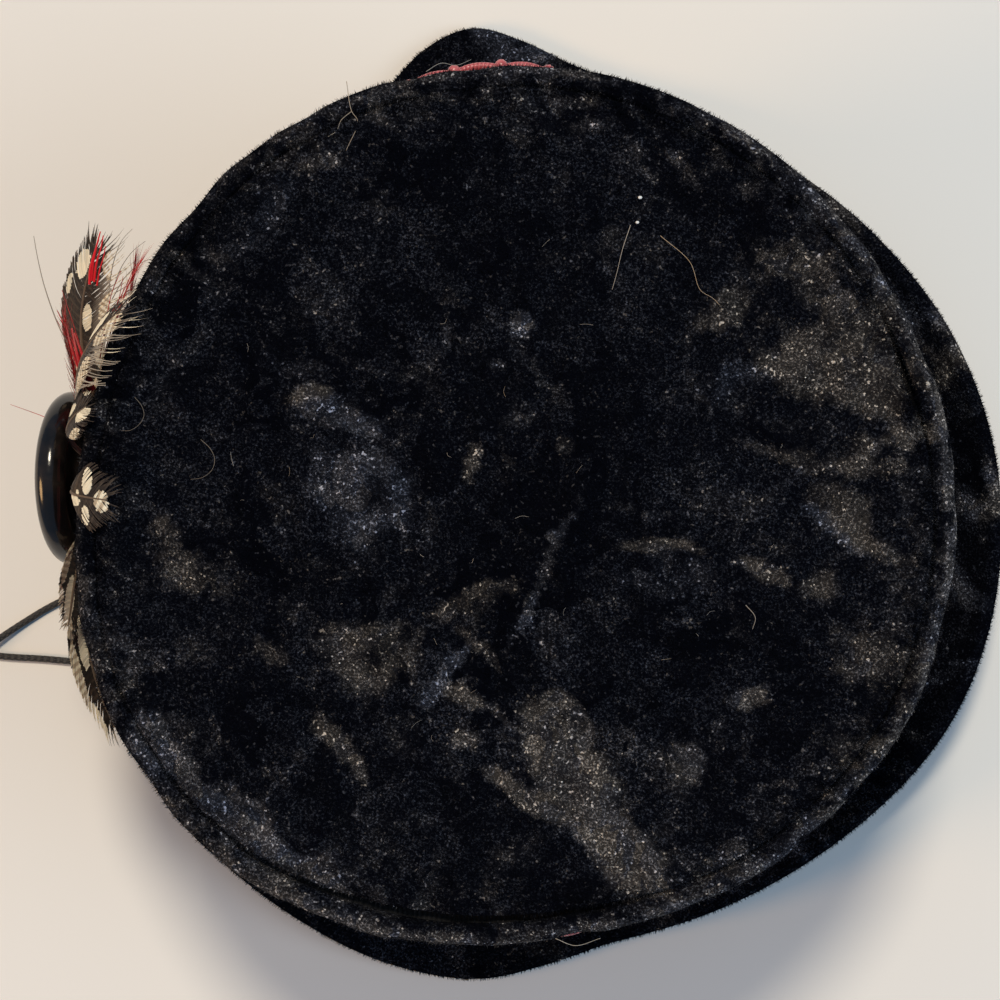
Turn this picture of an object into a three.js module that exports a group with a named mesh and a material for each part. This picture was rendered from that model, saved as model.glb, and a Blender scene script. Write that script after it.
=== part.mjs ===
// A miniature top hat in black crushed velvet, resting on its curled brim.
// Millimetres, +Z up. The front is towards +Y, and the button and its plumes are on the -X side.
// The origin is the middle of the head opening, on the surface that the hat rests on.
import * as THREE from 'three';

const { clamp, degToRad, euclideanModulo, lerp, smoothstep } = THREE.MathUtils;

// Driving dimensions
const tipRadius = 66.5;         // outline of the crown's top, over its seam roll
const crownHeight = 65;         // foot of the crown's side to the top of the seam roll
const footRadius = 58.5;        // outside of the crown at its foot
const flarePower = 2.2;         // how late the concave side flares
const clothWall = 2.2;          // velvet over its stiff backing
const seamRollRadius = 1.7;     // the roll where side and top are sewn together
const seamWidth = 5;            // the side's turned-in edge, under the top
const seamThickness = 1.2;
const tipThickness = 2.2;
const tipDome = 1.6;            // how far the top swells in its middle
const brimReach = 80;           // mean outline of the brim
const brimThickness = 2.8;
const brimDip = 5;              // how far the brim falls from the crown's foot to where it rests
const sideCurl = 15;            // how far its sides curl up above where it rests
const footMargin = 2.2;         // flat ring of the brim that runs on past the crown's foot
const clearance = 0.3;          // between pieces that touch

const braidPitch = 7;           // one scallop and one picot
const braidHeight = 3;
const braidThickness = 2;
const braidBelowRim = 9;        // the rim's top to the middle of the braid

const buttonRadius = 13.9;
const buttonRim = 2.4;          // half the thickness of its round rim
const buttonShankRadius = 1.6;
const buttonSide = 5.4;         // forward of the middle of the hat's side
const buttonDrop = 23;          // below the rim's top
const buttonStandOff = 10.8;    // its middle from the crown's side
const buttonTilt = 4;           // degrees that its top leans outwards

const plumeRing = 5;            // the quills end on this circle round the shank
const plumeThickness = 0.9;
const quillWidth = 1;
const bareQuill = 0.2;          // share of a plume's length below its vane

const elasticDiameter = 1.2;

// How the crown's top and the brim leave a true circle, as seen from above.
// share: outline as a share of tipRadius. draw: how far the seam draws the top in, as a share of seamRollRadius.
const rimOutline = [
  { at: 0, share: 0.995, draw: 0.45 }, { at: 25, share: 0.99, draw: 0.6 },
  { at: 50, share: 0.995, draw: 0.1 }, { at: 85, share: 1.008, draw: 0 },
  { at: 125, share: 1.01, draw: 0 }, { at: 145, share: 1, draw: 0 },
  { at: 180, share: 0.995, draw: 0 }, { at: 202, share: 1.025, draw: 0 },
  { at: 232, share: 1.028, draw: 0.2 }, { at: 250, share: 1.005, draw: 0.6 },
  { at: 266, share: 0.985, draw: 0.7 }, { at: 284, share: 0.962, draw: 0.3 },
  { at: 305, share: 0.98, draw: 0.1 }, { at: 332, share: 1, draw: 0.2 },
];

// reach: outline as a share of brimReach. lift: height of the edge as a share of sideCurl.
const brimOutline = [
  { at: 0, reach: 0.995, lift: 1 }, { at: 20, reach: 0.975, lift: 0.9 },
  { at: 40, reach: 0.943, lift: 0.66 }, { at: 58, reach: 0.925, lift: 0.36 },
  { at: 76, reach: 0.945, lift: 0.1 }, { at: 86, reach: 0.99, lift: 0 },
  { at: 92, reach: 1.04, lift: 0 }, { at: 98, reach: 1.082, lift: 0 },
  { at: 104, reach: 1.06, lift: 0 }, { at: 112, reach: 0.985, lift: 0.08 },
  { at: 128, reach: 0.955, lift: 0.42 }, { at: 155, reach: 0.985, lift: 0.86 },
  { at: 180, reach: 1.01, lift: 1 }, { at: 200, reach: 1.035, lift: 0.9 },
  { at: 222, reach: 1.043, lift: 0.62 }, { at: 240, reach: 1.05, lift: 0.3 },
  { at: 252, reach: 1.062, lift: 0.04 }, { at: 262, reach: 1.05, lift: 0 },
  { at: 271, reach: 1.004, lift: 0 }, { at: 279, reach: 0.968, lift: 0 },
  { at: 292, reach: 0.953, lift: 0.22 }, { at: 310, reach: 0.965, lift: 0.56 },
  { at: 335, reach: 1, lift: 0.92 },
];

// Where the braid hangs loose of the crown, as a share of its thickness.
const braidSlack = [
  { at: 0, loose: 0 }, { at: 76, loose: 0 }, { at: 88, loose: 0.85 }, { at: 94, loose: 0.95 },
  { at: 101, loose: 0.7 }, { at: 112, loose: 0 }, { at: 210, loose: 0 }, { at: 219, loose: 0.7 },
  { at: 228, loose: 0 }, { at: 300, loose: 0 },
];

// Soft dents and creases of the crown's top. x, y, long and wide are shares of tipRadius,
// turn is in degrees from +X, and deep is a share of tipDome, below 0 for a ridge.
const tipDents = [
  { x: -0.62, y: -0.2, long: 0.36, wide: 0.07, turn: 3, deep: 0.55 },
  { x: -0.12, y: -0.29, long: 0.2, wide: 0.06, turn: -32, deep: 0.6 },
  { x: 0.12, y: -0.02, long: 0.17, wide: 0.05, turn: 58, deep: -0.6 },
  { x: 0.3, y: -0.42, long: 0.3, wide: 0.2, turn: -40, deep: 0.5 },
  { x: 0.66, y: 0.27, long: 0.26, wide: 0.06, turn: -10, deep: 0.6 },
  { x: 0.72, y: 0, long: 0.2, wide: 0.05, turn: -32, deep: 0.55 },
  { x: -0.3, y: 0.14, long: 0.22, wide: 0.14, turn: -24, deep: -0.5 },
  { x: -0.25, y: 0.62, long: 0.3, wide: 0.09, turn: 22, deep: 0.45 },
  { x: -0.55, y: -0.55, long: 0.3, wide: 0.1, turn: -48, deep: -0.4 },
  { x: 0.45, y: 0.62, long: 0.24, wide: 0.12, turn: -38, deep: 0.4 },
];

// Spotted plumes and red hackles, each from the button's shank. fan: degrees in the side's plane, 0 towards the front
// and 90 up. length, width, layer (off the crown's side at the quill), bow (outwards, midway) and over (back inwards at
// the tip) are millimetres. curl bends the rise level towards the tip, and roll turns the vane's face up, in degrees.
const plumes = [
  { name: 'spotted_plume_1', fan: 20, length: 36, layer: 2.4, bow: 4.8, over: 0, curl: 0, width: 8.6, roll: 62 },
  { name: 'spotted_plume_2', fan: 45, length: 33, layer: 4.4, bow: 2, over: 11, curl: 0.5, width: 11, roll: 0 },
  { name: 'spotted_plume_3', fan: 68, length: 25, layer: 5.9, bow: 3, over: 5, curl: 0.7, width: 8, roll: 0 },
  { name: 'spotted_plume_4', fan: 98, length: 22, layer: 2.2, bow: 5.4, over: 6.4, curl: 0.9, width: 11, roll: 0 },
  { name: 'spotted_plume_5', fan: 152, length: 23, layer: 5.3, bow: 2.3, over: -3, curl: 0, width: 9, roll: 0 },
  { name: 'spotted_plume_6', fan: 170, length: 38, layer: 2.4, bow: 4.6, over: 2.4, curl: 0, width: 10, roll: 12 },
  { name: 'red_hackle_1', fan: 33, length: 27, layer: 6.8, bow: 0.6, over: -1, curl: 0, width: 3.6, roll: 0 },
  { name: 'red_hackle_2', fan: 8, length: 33, layer: 0.3, bow: 1, over: 1.5, curl: 0, width: 3.6, roll: 0 },
  { name: 'red_hackle_3', fan: 31, length: 36, layer: 0.9, bow: 1.4, over: 8, curl: 0, width: 3.6, roll: 0 },
  { name: 'red_hackle_4', fan: 180, length: 36, layer: 1.1, bow: 1, over: 1.5, curl: 0, width: 3.6, roll: 0 },
];

// The elastic's route: from the inside of the crown's foot, under the brim, round its free loop, back under the brim
// and across to the other side of the foot. Its ends are worked out from the foot.
const elasticRoute = [
  [-51.5, -4.2, 7.6], [-49.5, -5.4, 3.4], [-51.6, -7.8, 1], [-57, -9.8, 0.62], [-66, -11.6, 0.62], [-76, -13.2, 0.62],
  [-86.5, -16.2, 0.62], [-94, -20.4, 0.9], [-101.5, -25.6, 2.1], [-109, -31, 0.9], [-118, -36.5, 0.62],
  [-129, -39.5, 0.62], [-139.5, -36.5, 0.62], [-145, -28, 0.62], [-143.5, -18.5, 0.62], [-135.5, -13.4, 0.62],
  [-125.5, -15.6, 0.62], [-116, -21, 0.62], [-107.5, -25, 0.62], [-98.3, -26.3, 0.62], [-90, -26.8, 0.62],
  [-82, -27.4, 0.62], [-68, -27.6, 0.62], [-50, -26, 0.62], [-28, -22.4, 0.62], [-4, -17.6, 0.62], [20, -11.6, 0.62],
  [38, -6, 0.62], [46, -3.2, 1], [50, -1.6, 3.4], [52, -0.6, 7],
];
const elasticEnds = [{ at: 183.8, side: -1 }, { at: 0, side: 1 }];
const elasticEndRise = 2.6;     // above the foot of the crown's side

// Sizes that follow
const footZ = brimDip + brimThickness + clearance;
const rimZ = footZ + crownHeight;
const ledgeZ = rimZ - 2 * seamRollRadius;
const openingRadius = footRadius - clothWall;
const braidZ = rimZ - braidBelowRim;
const buttonZ = rimZ - buttonDrop;

// Facets
const crownSectors = 60;
const brimSectors = 72;
const samplesPerScallop = 4;
const plumeStations = 9;
const buttonSectors = 32;
const elasticSteps = 76;
const elasticSides = 8;

const velvet = new THREE.MeshStandardMaterial({ color: 0x08080b, roughness: 0.85 });
const redSilk = new THREE.MeshStandardMaterial({ color: 0xc8323c, roughness: 0.5 });
const horn = new THREE.MeshStandardMaterial({ color: 0x070708, roughness: 0.12 });
const spotted = new THREE.MeshStandardMaterial({ color: 0x3b2f2a, roughness: 0.7 });
const redFeather = new THREE.MeshStandardMaterial({ color: 0xb3101c, roughness: 0.6 });
const blackElastic = new THREE.MeshStandardMaterial({ color: 0x1b1815, roughness: 0.6 });

// Reads one column of a table that goes round the hat, as a smooth curve through its rows.
function around(rows, column) {
  const row = (k) => {
    const turns = Math.floor(k / rows.length);
    const own = rows[euclideanModulo(k, rows.length)];
    return { at: own.at + 360 * turns, value: own[column] };
  };
  const slope = (k) => (row(k + 1).value - row(k - 1).value) / (row(k + 1).at - row(k - 1).at);
  return (degrees) => {
    const angle = euclideanModulo(degrees, 360);
    let k = 0;
    while (row(k + 1).at <= angle) k += 1;
    const from = row(k);
    const to = row(k + 1);
    const span = to.at - from.at;
    const t = (angle - from.at) / span;
    const blend = t * t * (3 - 2 * t);
    const leaving = slope(k) * span * t * (1 - t) * (1 - t);
    const arriving = slope(k + 1) * span * t * t * (1 - t);
    return lerp(from.value, to.value, blend) + leaving - arriving;
  };
}

const rimShare = around(rimOutline, 'share');
const seamDraw = around(rimOutline, 'draw');
const brimShare = around(brimOutline, 'reach');
const brimLift = around(brimOutline, 'lift');
const braidLoose = around(braidSlack, 'loose');

const rimRadius = (degrees) => tipRadius * rimShare(degrees);

// Outside of the crown's side at a height in millimetres.
function sideRadius(degrees, z) {
  const share = clamp((z - footZ) / crownHeight, 0, 1);
  return lerp(footRadius, rimRadius(degrees), share ** flarePower);
}

// A closed mesh over a grid of points: columns[i][j]. Each column is a closed outline. The columns close on each other,
// or are capped with a fan at both ends.
function loft(columns, closesRound) {
  const height = columns[0].length;
  const points = columns.flat();
  const faces = [];
  const index = (i, j) => (i % columns.length) * height + (j % height);
  const lastColumn = closesRound ? columns.length : columns.length - 1;
  for (let i = 0; i < lastColumn; i += 1) {
    for (let j = 0; j < height; j += 1) {
      const [a, b, c, d] = [index(i, j), index(i + 1, j), index(i + 1, j + 1), index(i, j + 1)];
      faces.push(a, b, c, a, c, d);
    }
  }
  if (!closesRound) {
    for (let j = 1; j < height - 1; j += 1) {
      faces.push(index(0, 0), index(0, j), index(0, j + 1));
      const end = columns.length - 1;
      faces.push(index(end, 0), index(end, j + 1), index(end, j));
    }
  }
  return geometryOf(points, faces);
}

function geometryOf(points, faces) {
  const geometry = new THREE.BufferGeometry().setFromPoints(points);
  geometry.setIndex(faces);
  geometry.computeVertexNormals();
  return geometry;
}

// A ring round the hat, from its section at each angle as [radius, z] pairs, clockwise as seen with the axis on the left.
function ring(sectors, sectionAt) {
  const columns = Array.from({ length: sectors }, (_, i) => {
    const degrees = (360 * i) / sectors;
    const angle = degToRad(degrees);
    return sectionAt(degrees).map(
      ([radius, z]) => new THREE.Vector3(radius * Math.cos(angle), radius * Math.sin(angle), z),
    );
  });
  return loft(columns, true);
}

// The crown's side: up the outside, over the seam roll, in along the sewn edge, and down the inside.
function crownSide() {
  const outside = [0, 0.22, 0.42, 0.58, 0.72, 0.82, 0.9];
  const inside = [0.8, 0.55, 0.3, 0];
  const rollAngles = [-35, 5, 45, 90, 135, 175];
  return ring(crownSectors, (degrees) => {
    const rim = rimRadius(degrees);
    const rollMiddle = rim - seamRollRadius;
    const ledgeEdge = rim - 2 * seamRollRadius - seamWidth;
    const wallAt = (share) => {
      const z = footZ + share * crownHeight;
      return [sideRadius(degrees, z), z];
    };
    const roll = rollAngles.map((turn) => [
      rollMiddle + seamRollRadius * Math.cos(degToRad(turn)),
      rimZ - seamRollRadius + seamRollRadius * Math.sin(degToRad(turn)),
    ]);
    const ledge = [
      [rim - 2 * seamRollRadius, ledgeZ],
      [ledgeEdge, ledgeZ],
      [ledgeEdge, ledgeZ - seamThickness],
      [sideRadius(degrees, ledgeZ - seamThickness) - clothWall, ledgeZ - seamThickness],
    ];
    const lining = inside.map(wallAt).map(([radius, z]) => [radius - clothWall, z]);
    return [...outside.map(wallAt), ...roll, ...ledge, ...lining];
  });
}

// Height of the crown's top above its edge, at a place given in shares of tipRadius.
function tipRelief(x, y) {
  const fromMiddle = Math.min(1, Math.hypot(x, y));
  const fade = 1 - smoothstep(fromMiddle, 0.72, 0.94);
  const dents = tipDents.map((dent) => {
    const turn = degToRad(dent.turn);
    const along = (x - dent.x) * Math.cos(turn) + (y - dent.y) * Math.sin(turn);
    const across = (y - dent.y) * Math.cos(turn) - (x - dent.x) * Math.sin(turn);
    return dent.deep * Math.exp(-((along / dent.long) ** 2) - (across / dent.wide) ** 2);
  });
  const dented = dents.reduce((sum, deep) => sum + deep, 0);
  return tipDome * (1 - fromMiddle ** 2 - fade * dented);
}

// The crown's top: a soft round panel that lies on the side's turned-in edge.
function crownTip() {
  const outerRings = [0.16, 0.32, 0.47, 0.61, 0.74, 0.85, 0.94];
  const innerRings = [0.94, 0.65, 0.3];
  const underZ = ledgeZ + clearance;
  const points = [];
  const faces = [];
  const place = (degrees, share, lift, edgeInset = 0) => {
    const edge = rimRadius(degrees) - 2 * seamRollRadius - clearance - seamDraw(degrees) * seamRollRadius;
    const radius = share * (edge - edgeInset);
    const x = radius * Math.cos(degToRad(degrees));
    const y = radius * Math.sin(degToRad(degrees));
    return new THREE.Vector3(x, y, underZ + lift + tipRelief(x / tipRadius, y / tipRadius));
  };
  const edgeRelief = 0.4;       // share of tipThickness over which the edge rounds off
  const rows = [
    ...outerRings.map((share) => (degrees) => place(degrees, share, tipThickness)),
    (degrees) => place(degrees, 1, tipThickness * (1 - edgeRelief / 2), tipThickness * edgeRelief),
    (degrees) => place(degrees, 1, tipThickness * 0.5),
    (degrees) => place(degrees, 1, 0, tipThickness * edgeRelief),
    ...innerRings.map((share) => (degrees) => place(degrees, share, 0)),
  ];
  points.push(place(0, 0, tipThickness));
  for (const row of rows) {
    for (let i = 0; i < crownSectors; i += 1) points.push(row((360 * i) / crownSectors));
  }
  points.push(place(0, 0, 0));
  const at = (row, i) => 1 + row * crownSectors + (i % crownSectors);
  const bottom = points.length - 1;
  for (let i = 0; i < crownSectors; i += 1) {
    faces.push(0, at(0, i), at(0, i + 1));
    for (let row = 0; row < rows.length - 1; row += 1) {
      faces.push(at(row, i), at(row + 1, i), at(row + 1, i + 1));
      faces.push(at(row, i), at(row + 1, i + 1), at(row, i + 1));
    }
    faces.push(bottom, at(rows.length - 1, i + 1), at(rows.length - 1, i));
  }
  return geometryOf(points, faces);
}

// The brim's underside at a share of its width: flat at the crown's foot, curling up at the sides and dipping to the
// surface it rests on at the front and back, where the cloth lies flat.
function brimUnder(degrees, share) {
  const lift = brimLift(degrees);
  const edgeZ = Math.max(0, lift) * sideCurl;
  const curled = share ** 1.8;
  const dipped = smoothstep(share, 0, 0.62);
  const rise = lerp(dipped, curled, clamp(2.5 * lift, 0, 1));
  const ringRadius = footRadius + footMargin;
  const radius = lerp(ringRadius, brimReach * brimShare(degrees), share);
  return new THREE.Vector2(radius, Math.max(0, lerp(brimDip, edgeZ, rise)));
}

function brim() {
  const shares = [0, 0.2, 0.4, 0.6, 0.8, 0.93];
  const edgeTurns = [-50, 0, 50];
  const step = 0.01;
  return ring(brimSectors, (degrees) => {
    const under = shares.map((share) => brimUnder(degrees, share));
    const normals = shares.map((share) => {
      const before = brimUnder(degrees, Math.max(0, share - step));
      const along = brimUnder(degrees, share + step).sub(before).normalize();
      return new THREE.Vector2(-along.y, along.x);
    });
    normals[0].set(0, 1);
    const upper = under.map((point, i) => point.clone().addScaledVector(normals[i], brimThickness));
    const last = under.length - 1;
    const edgeMiddle = under[last].clone().add(upper[last]).multiplyScalar(0.5);
    const edgeRun = brimUnder(degrees, 1).sub(under[last]).length() - brimThickness / 2;
    const outward = new THREE.Vector2(normals[last].y, -normals[last].x);
    const edge = edgeTurns.map((turn) => {
      const round = edgeMiddle.clone().addScaledVector(outward, edgeRun + (brimThickness / 2) * Math.cos(degToRad(turn)));
      return round.addScaledVector(normals[last], (brimThickness / 2) * Math.sin(degToRad(turn)));
    });
    const points = [...under, ...edge, ...upper.reverse()].map(({ x, y }) => [x, Math.max(0, y)]);
    return [[openingRadius, brimDip], ...points, [openingRadius, brimDip + brimThickness]];
  });
}

// The braid: a scalloped ring with a picot between each two scallops, laid on the crown's side.
function braid() {
  const meanRadius = sideRadius(0, braidZ) + braidThickness;
  const scallops = Math.round((2 * Math.PI * meanRadius) / braidPitch);
  const outline = [1, 0.5, 0.82, 0.5];
  let sample = 0;
  return ring(scallops * samplesPerScallop, (degrees) => {
    const swell = outline[sample % samplesPerScallop];
    sample += 1;
    const low = braidZ - braidHeight / 2;
    const high = braidZ + braidHeight / 2;
    const loose = clearance + Math.max(0, braidLoose(degrees)) * braidThickness;
    const lowInner = sideRadius(degrees, low) + loose;
    const highInner = sideRadius(degrees, high) + loose;
    const out = braidThickness * swell;
    return [
      [lowInner, low], [lowInner + out * 0.5, low], [(lowInner + highInner) / 2 + out, braidZ + 0.3],
      [highInner + out * 0.6, high + 0.2 * swell], [highInner, high],
    ];
  });
}

const buttonAngle = 180 - THREE.MathUtils.radToDeg(Math.asin(buttonSide / footRadius));

// Distance from the hat's middle plane to the crown's side, at the button's place along it and a height.
function wallOut(z) {
  return Math.sqrt(sideRadius(buttonAngle, z) ** 2 - buttonSide ** 2);
}

// The button: a glossy disc with a round raised rim, and its shank, turned about one axis.
function button() {
  const tilt = degToRad(buttonTilt);
  const shankTopZ = buttonZ + buttonStandOff * Math.tan(tilt) + buttonShankRadius;
  const room = wallOut(buttonZ) + buttonStandOff - wallOut(shankTopZ) - clearance;
  const shank = room / Math.cos(tilt) - buttonShankRadius * Math.tan(tilt);
  const dish = buttonRim * 0.2;
  const rimMiddle = buttonRadius - buttonRim;
  const rimTurns = [130, 90, 50, 15, -15, -50, -90, -130];
  const rim = rimTurns.map((turn) => [
    rimMiddle + buttonRim * Math.cos(degToRad(turn)),
    buttonRim * Math.sin(degToRad(turn)),
  ]);
  const boss = 2.6 * buttonShankRadius;
  const profile = [
    [0, dish], [rimMiddle * 0.6, dish * 1.3], ...rim,
    [boss, -buttonRim * 0.6], [boss * 0.8, -buttonRim * 1.2], [buttonShankRadius, -buttonRim * 1.5],
    [buttonShankRadius, -shank], [0, -shank],
  ];
  const geometry = new THREE.LatheGeometry(profile.map(([x, y]) => new THREE.Vector2(x, y)).reverse(), buttonSectors);
  return geometry;
}

// A plume's middle line at a share of its length.
function plumePoint(plume, share) {
  const fan = degToRad(plume.fan);
  const rootZ = buttonZ + plumeRing * Math.sin(fan);
  const rise = share * (1 + plume.curl) - plume.curl * share * share;
  const bow = plume.bow * Math.sin(Math.PI * share);
  const out = wallOut(rootZ) + plume.layer + bow - plume.over * share ** 3;
  return new THREE.Vector3(
    -out,
    buttonSide + (plumeRing + plume.length * share) * Math.cos(fan),
    rootZ + plume.length * rise * Math.sin(fan),
  );
}

// A plume: a thin leaf with a round tip and a narrow quill, thickest along its shaft.
function plumeBlade(plume) {
  const fan = degToRad(plume.fan);
  const flatAcross = new THREE.Vector3(0, -Math.sin(fan), Math.cos(fan));
  const step = 0.01;
  const columns = Array.from({ length: plumeStations }, (_, i) => {
    const share = i / (plumeStations - 1);
    const middle = plumePoint(plume, share);
    const along = plumePoint(plume, share + step).sub(plumePoint(plume, share - step)).normalize();
    const across = flatAcross.clone().addScaledVector(along, -flatAcross.dot(along)).normalize();
    across.applyAxisAngle(along, degToRad(plume.roll));
    const face = across.clone().cross(along);
    const vane = clamp((share - bareQuill) / (1 - bareQuill), 0, 1);
    const half = quillWidth / 2 + (plume.width / 2) * Math.sin(Math.PI * vane ** 1.25) ** 0.7;
    const thick = plumeThickness / 2;
    const outline = [[-1, 0.35], [-1, -0.35], [0, -1], [1, -0.35], [1, 0.35], [0, 1]];
    return outline.map(([a, b]) => middle.clone().addScaledVector(across, a * half).addScaledVector(face, b * thick));
  });
  return loft(columns, false);
}

// The chin elastic: a plain round cord, sewn at both ends inside the crown's foot.
function elastic() {
  const endRadius = openingRadius - clearance - elasticDiameter / 2;
  const endZ = footZ + elasticEndRise;
  const [first, last] = elasticEnds.map(
    ({ at }) => new THREE.Vector3(endRadius * Math.cos(degToRad(at)), endRadius * Math.sin(degToRad(at)), endZ),
  );
  const path = new THREE.CatmullRomCurve3([first, ...elasticRoute.map((point) => new THREE.Vector3(...point)), last]);
  path.arcLengthDivisions = 1000;
  const section = new THREE.Shape(
    Array.from({ length: elasticSides }, (_, i) => {
      const turn = (2 * Math.PI * (i + 0.5)) / elasticSides;
      return new THREE.Vector2(Math.cos(turn), Math.sin(turn)).multiplyScalar(elasticDiameter / 2);
    }),
  );
  return new THREE.ExtrudeGeometry(section, { steps: elasticSteps, extrudePath: path, curveSegments: 1 });
}

function piece(name, geometry, material) {
  const mesh = new THREE.Mesh(geometry, material);
  mesh.name = name;
  return mesh;
}

const hat = new THREE.Group();
hat.add(
  piece('crown_tip', crownTip(), velvet),
  piece('crown_side', crownSide(), velvet),
  piece('brim', brim(), velvet),
  piece('braid', braid(), redSilk),
  piece('chin_elastic', elastic(), blackElastic),
);
for (const plume of plumes) {
  hat.add(piece(plume.name, plumeBlade(plume), plume.name.startsWith('red') ? redFeather : spotted));
}

// The button's own axis is +Y: it is turned to face outwards, with its top leaning out.
const buttonMount = new THREE.Group();
buttonMount.position.set(-(wallOut(buttonZ) + buttonStandOff), buttonSide, buttonZ);
buttonMount.rotation.y = -degToRad(buttonTilt);
const buttonPiece = piece('button', button(), horn);
buttonPiece.rotation.z = Math.PI / 2;
buttonMount.add(buttonPiece);
hat.add(buttonMount);

export default hat;
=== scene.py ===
# A miniature top hat in black crushed velvet, resting on a pale table.
# Lengths are millimetres until makeMesh turns them into metres.
# +Z is up, +Y is the hat's front and -X the button's side.
import math
import time

import bpy
import numpy as np
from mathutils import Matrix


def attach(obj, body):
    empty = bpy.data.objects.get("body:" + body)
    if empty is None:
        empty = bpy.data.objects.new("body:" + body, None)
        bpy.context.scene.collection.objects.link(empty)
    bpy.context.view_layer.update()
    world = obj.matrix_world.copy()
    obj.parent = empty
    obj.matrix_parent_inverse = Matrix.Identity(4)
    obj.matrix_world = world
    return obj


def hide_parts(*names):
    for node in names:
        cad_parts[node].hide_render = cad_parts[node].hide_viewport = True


startTime = time.time()
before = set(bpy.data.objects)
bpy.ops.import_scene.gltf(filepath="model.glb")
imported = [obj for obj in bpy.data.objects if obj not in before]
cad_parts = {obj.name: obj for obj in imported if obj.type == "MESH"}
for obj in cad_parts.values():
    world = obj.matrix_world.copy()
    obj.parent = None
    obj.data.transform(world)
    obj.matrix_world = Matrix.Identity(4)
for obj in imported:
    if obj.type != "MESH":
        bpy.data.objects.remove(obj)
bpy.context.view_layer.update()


def stage(text):
    print(f"{time.time() - startTime:6.1f} s  {text}")


# The camera, as the photograph was taken: from straight above, a little to the right.
camera = bpy.data.objects.new("camera", bpy.data.cameras.new("camera"))
bpy.context.collection.objects.link(camera)
camera.location = (0.0307, 0.0019, 0.4518)
camera.rotation_euler = (0, math.radians(4.83), 0)
camera.data.lens = 91.66
camera.data.sensor_width = 36
camera.data.clip_start = 0.01
bpy.context.scene.camera = camera
bpy.context.scene.view_settings.view_transform = "Standard"


def makeMesh(name, points, faces, material, smooth=True, values=None, faceMaterial=None):
    # points in millimetres, triangles or quads, values {name: one number or vector per point}
    faces = np.asarray(faces, dtype=np.int32)
    size = faces.shape[1]
    mesh = bpy.data.meshes.new(name)
    mesh.vertices.add(len(points))
    mesh.vertices.foreach_set("co", (np.asarray(points, dtype=np.float32) * 0.001).ravel())
    mesh.loops.add(faces.size)
    mesh.loops.foreach_set("vertex_index", faces.ravel())
    mesh.polygons.add(len(faces))
    mesh.polygons.foreach_set("loop_start", np.arange(0, faces.size, size, dtype=np.int32))
    mesh.update(calc_edges=True)
    mesh.validate()
    mesh.polygons.foreach_set("use_smooth", np.full(len(mesh.polygons), smooth))
    for key, value in (values or {}).items():
        value = np.asarray(value, dtype=np.float32)
        kind = "FLOAT_VECTOR" if value.ndim == 2 else "FLOAT"
        attribute = mesh.attributes.new(key, kind, "POINT")
        attribute.data.foreach_set("vector" if value.ndim == 2 else "value", value.ravel())
    obj = bpy.data.objects.new(name, mesh)
    bpy.context.collection.objects.link(obj)
    for one in material if isinstance(material, (list, tuple)) else [material]:
        mesh.materials.append(one)
    if faceMaterial is not None:
        mesh.polygons.foreach_set("material_index", np.asarray(faceMaterial, dtype=np.int32))
    return obj


def gridQuads(rows, columns, closed=False):
    # quads over a grid of points[row, column] that goes round along its rows, and over its rows if closed
    i, j = np.meshgrid(np.arange(rows if closed else rows - 1), np.arange(columns), indexing="ij")
    i2, j2 = (i + 1) % rows, (j + 1) % columns
    corners = [i * columns + j, i2 * columns + j, i2 * columns + j2, i * columns + j2]
    return np.stack(corners, -1).reshape(-1, 4)


def triangles(quads, *more):
    # each quad cut in two along its first diagonal, then any other triangles
    return np.vstack([quads[:, [0, 1, 2]], quads[:, [0, 2, 3]], *more])


def endFans(rows, columns, first, last):
    # triangles from the first and the last ring of a grid to the points with the numbers first and last
    k = np.arange(columns)
    k2, start = (k + 1) % columns, (rows - 1) * columns
    return np.vstack([np.stack([np.full(columns, first), k, k2], 1),
                      np.stack([np.full(columns, last), start + k2, start + k], 1)])


def unit(vectors):
    # each vector divided by its length
    return vectors / np.maximum(np.linalg.norm(vectors, axis=-1, keepdims=True), 1e-9)


def polar(degrees, radius, z):
    # x = radius cos(angle), y = radius sin(angle)
    a = np.radians(degrees)
    return np.stack(np.broadcast_arrays(radius * np.cos(a), radius * np.sin(a), z), -1)


def fullCircle(sectors):
    # one row of degrees in equal steps
    return (np.arange(sectors) * 360 / sectors)[None, :]


def gridNormals(points, closed=False):
    # cross product of the two central differences at each point of the grid
    def slope(axis):
        return np.roll(points, -1, axis) - np.roll(points, 1, axis)

    return unit(np.cross(slope(0) if closed else np.gradient(points, axis=0), slope(1)))


def around(rows, degrees):
    # cubic through the rows (degrees, value, ...) of a table that goes round the hat; the slope at each
    # row is that between its two neighbours
    table = np.asarray(rows, dtype=float)
    at = np.concatenate([table[-2:, 0] - 360, table[:, 0], table[:3, 0] + 360])
    values = np.concatenate([table[-2:], table, table[:3]])[:, 1:]
    angle = np.mod(degrees, 360)
    k = np.clip(np.searchsorted(at, angle, side="right") - 1, 1, len(at) - 3)
    span = at[k + 1] - at[k]
    t = ((angle - at[k]) / span)[..., None]
    blend = t * t * (3 - 2 * t)

    def slope(n):
        return (values[n + 1] - values[n - 1]) / (at[n + 1] - at[n - 1])[..., None]

    leaving = slope(k) * span[..., None] * t * (1 - t) ** 2
    arriving = slope(k + 1) * span[..., None] * t * t * (1 - t)
    return values[k] * (1 - blend) + values[k + 1] * blend + leaving - arriving


def ease(x, low, high):
    # 3 t^2 - 2 t^3, with t the share of the way from low to high
    t = np.clip((x - low) / (high - low), 0, 1)
    return t * t * (3 - 2 * t)


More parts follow.
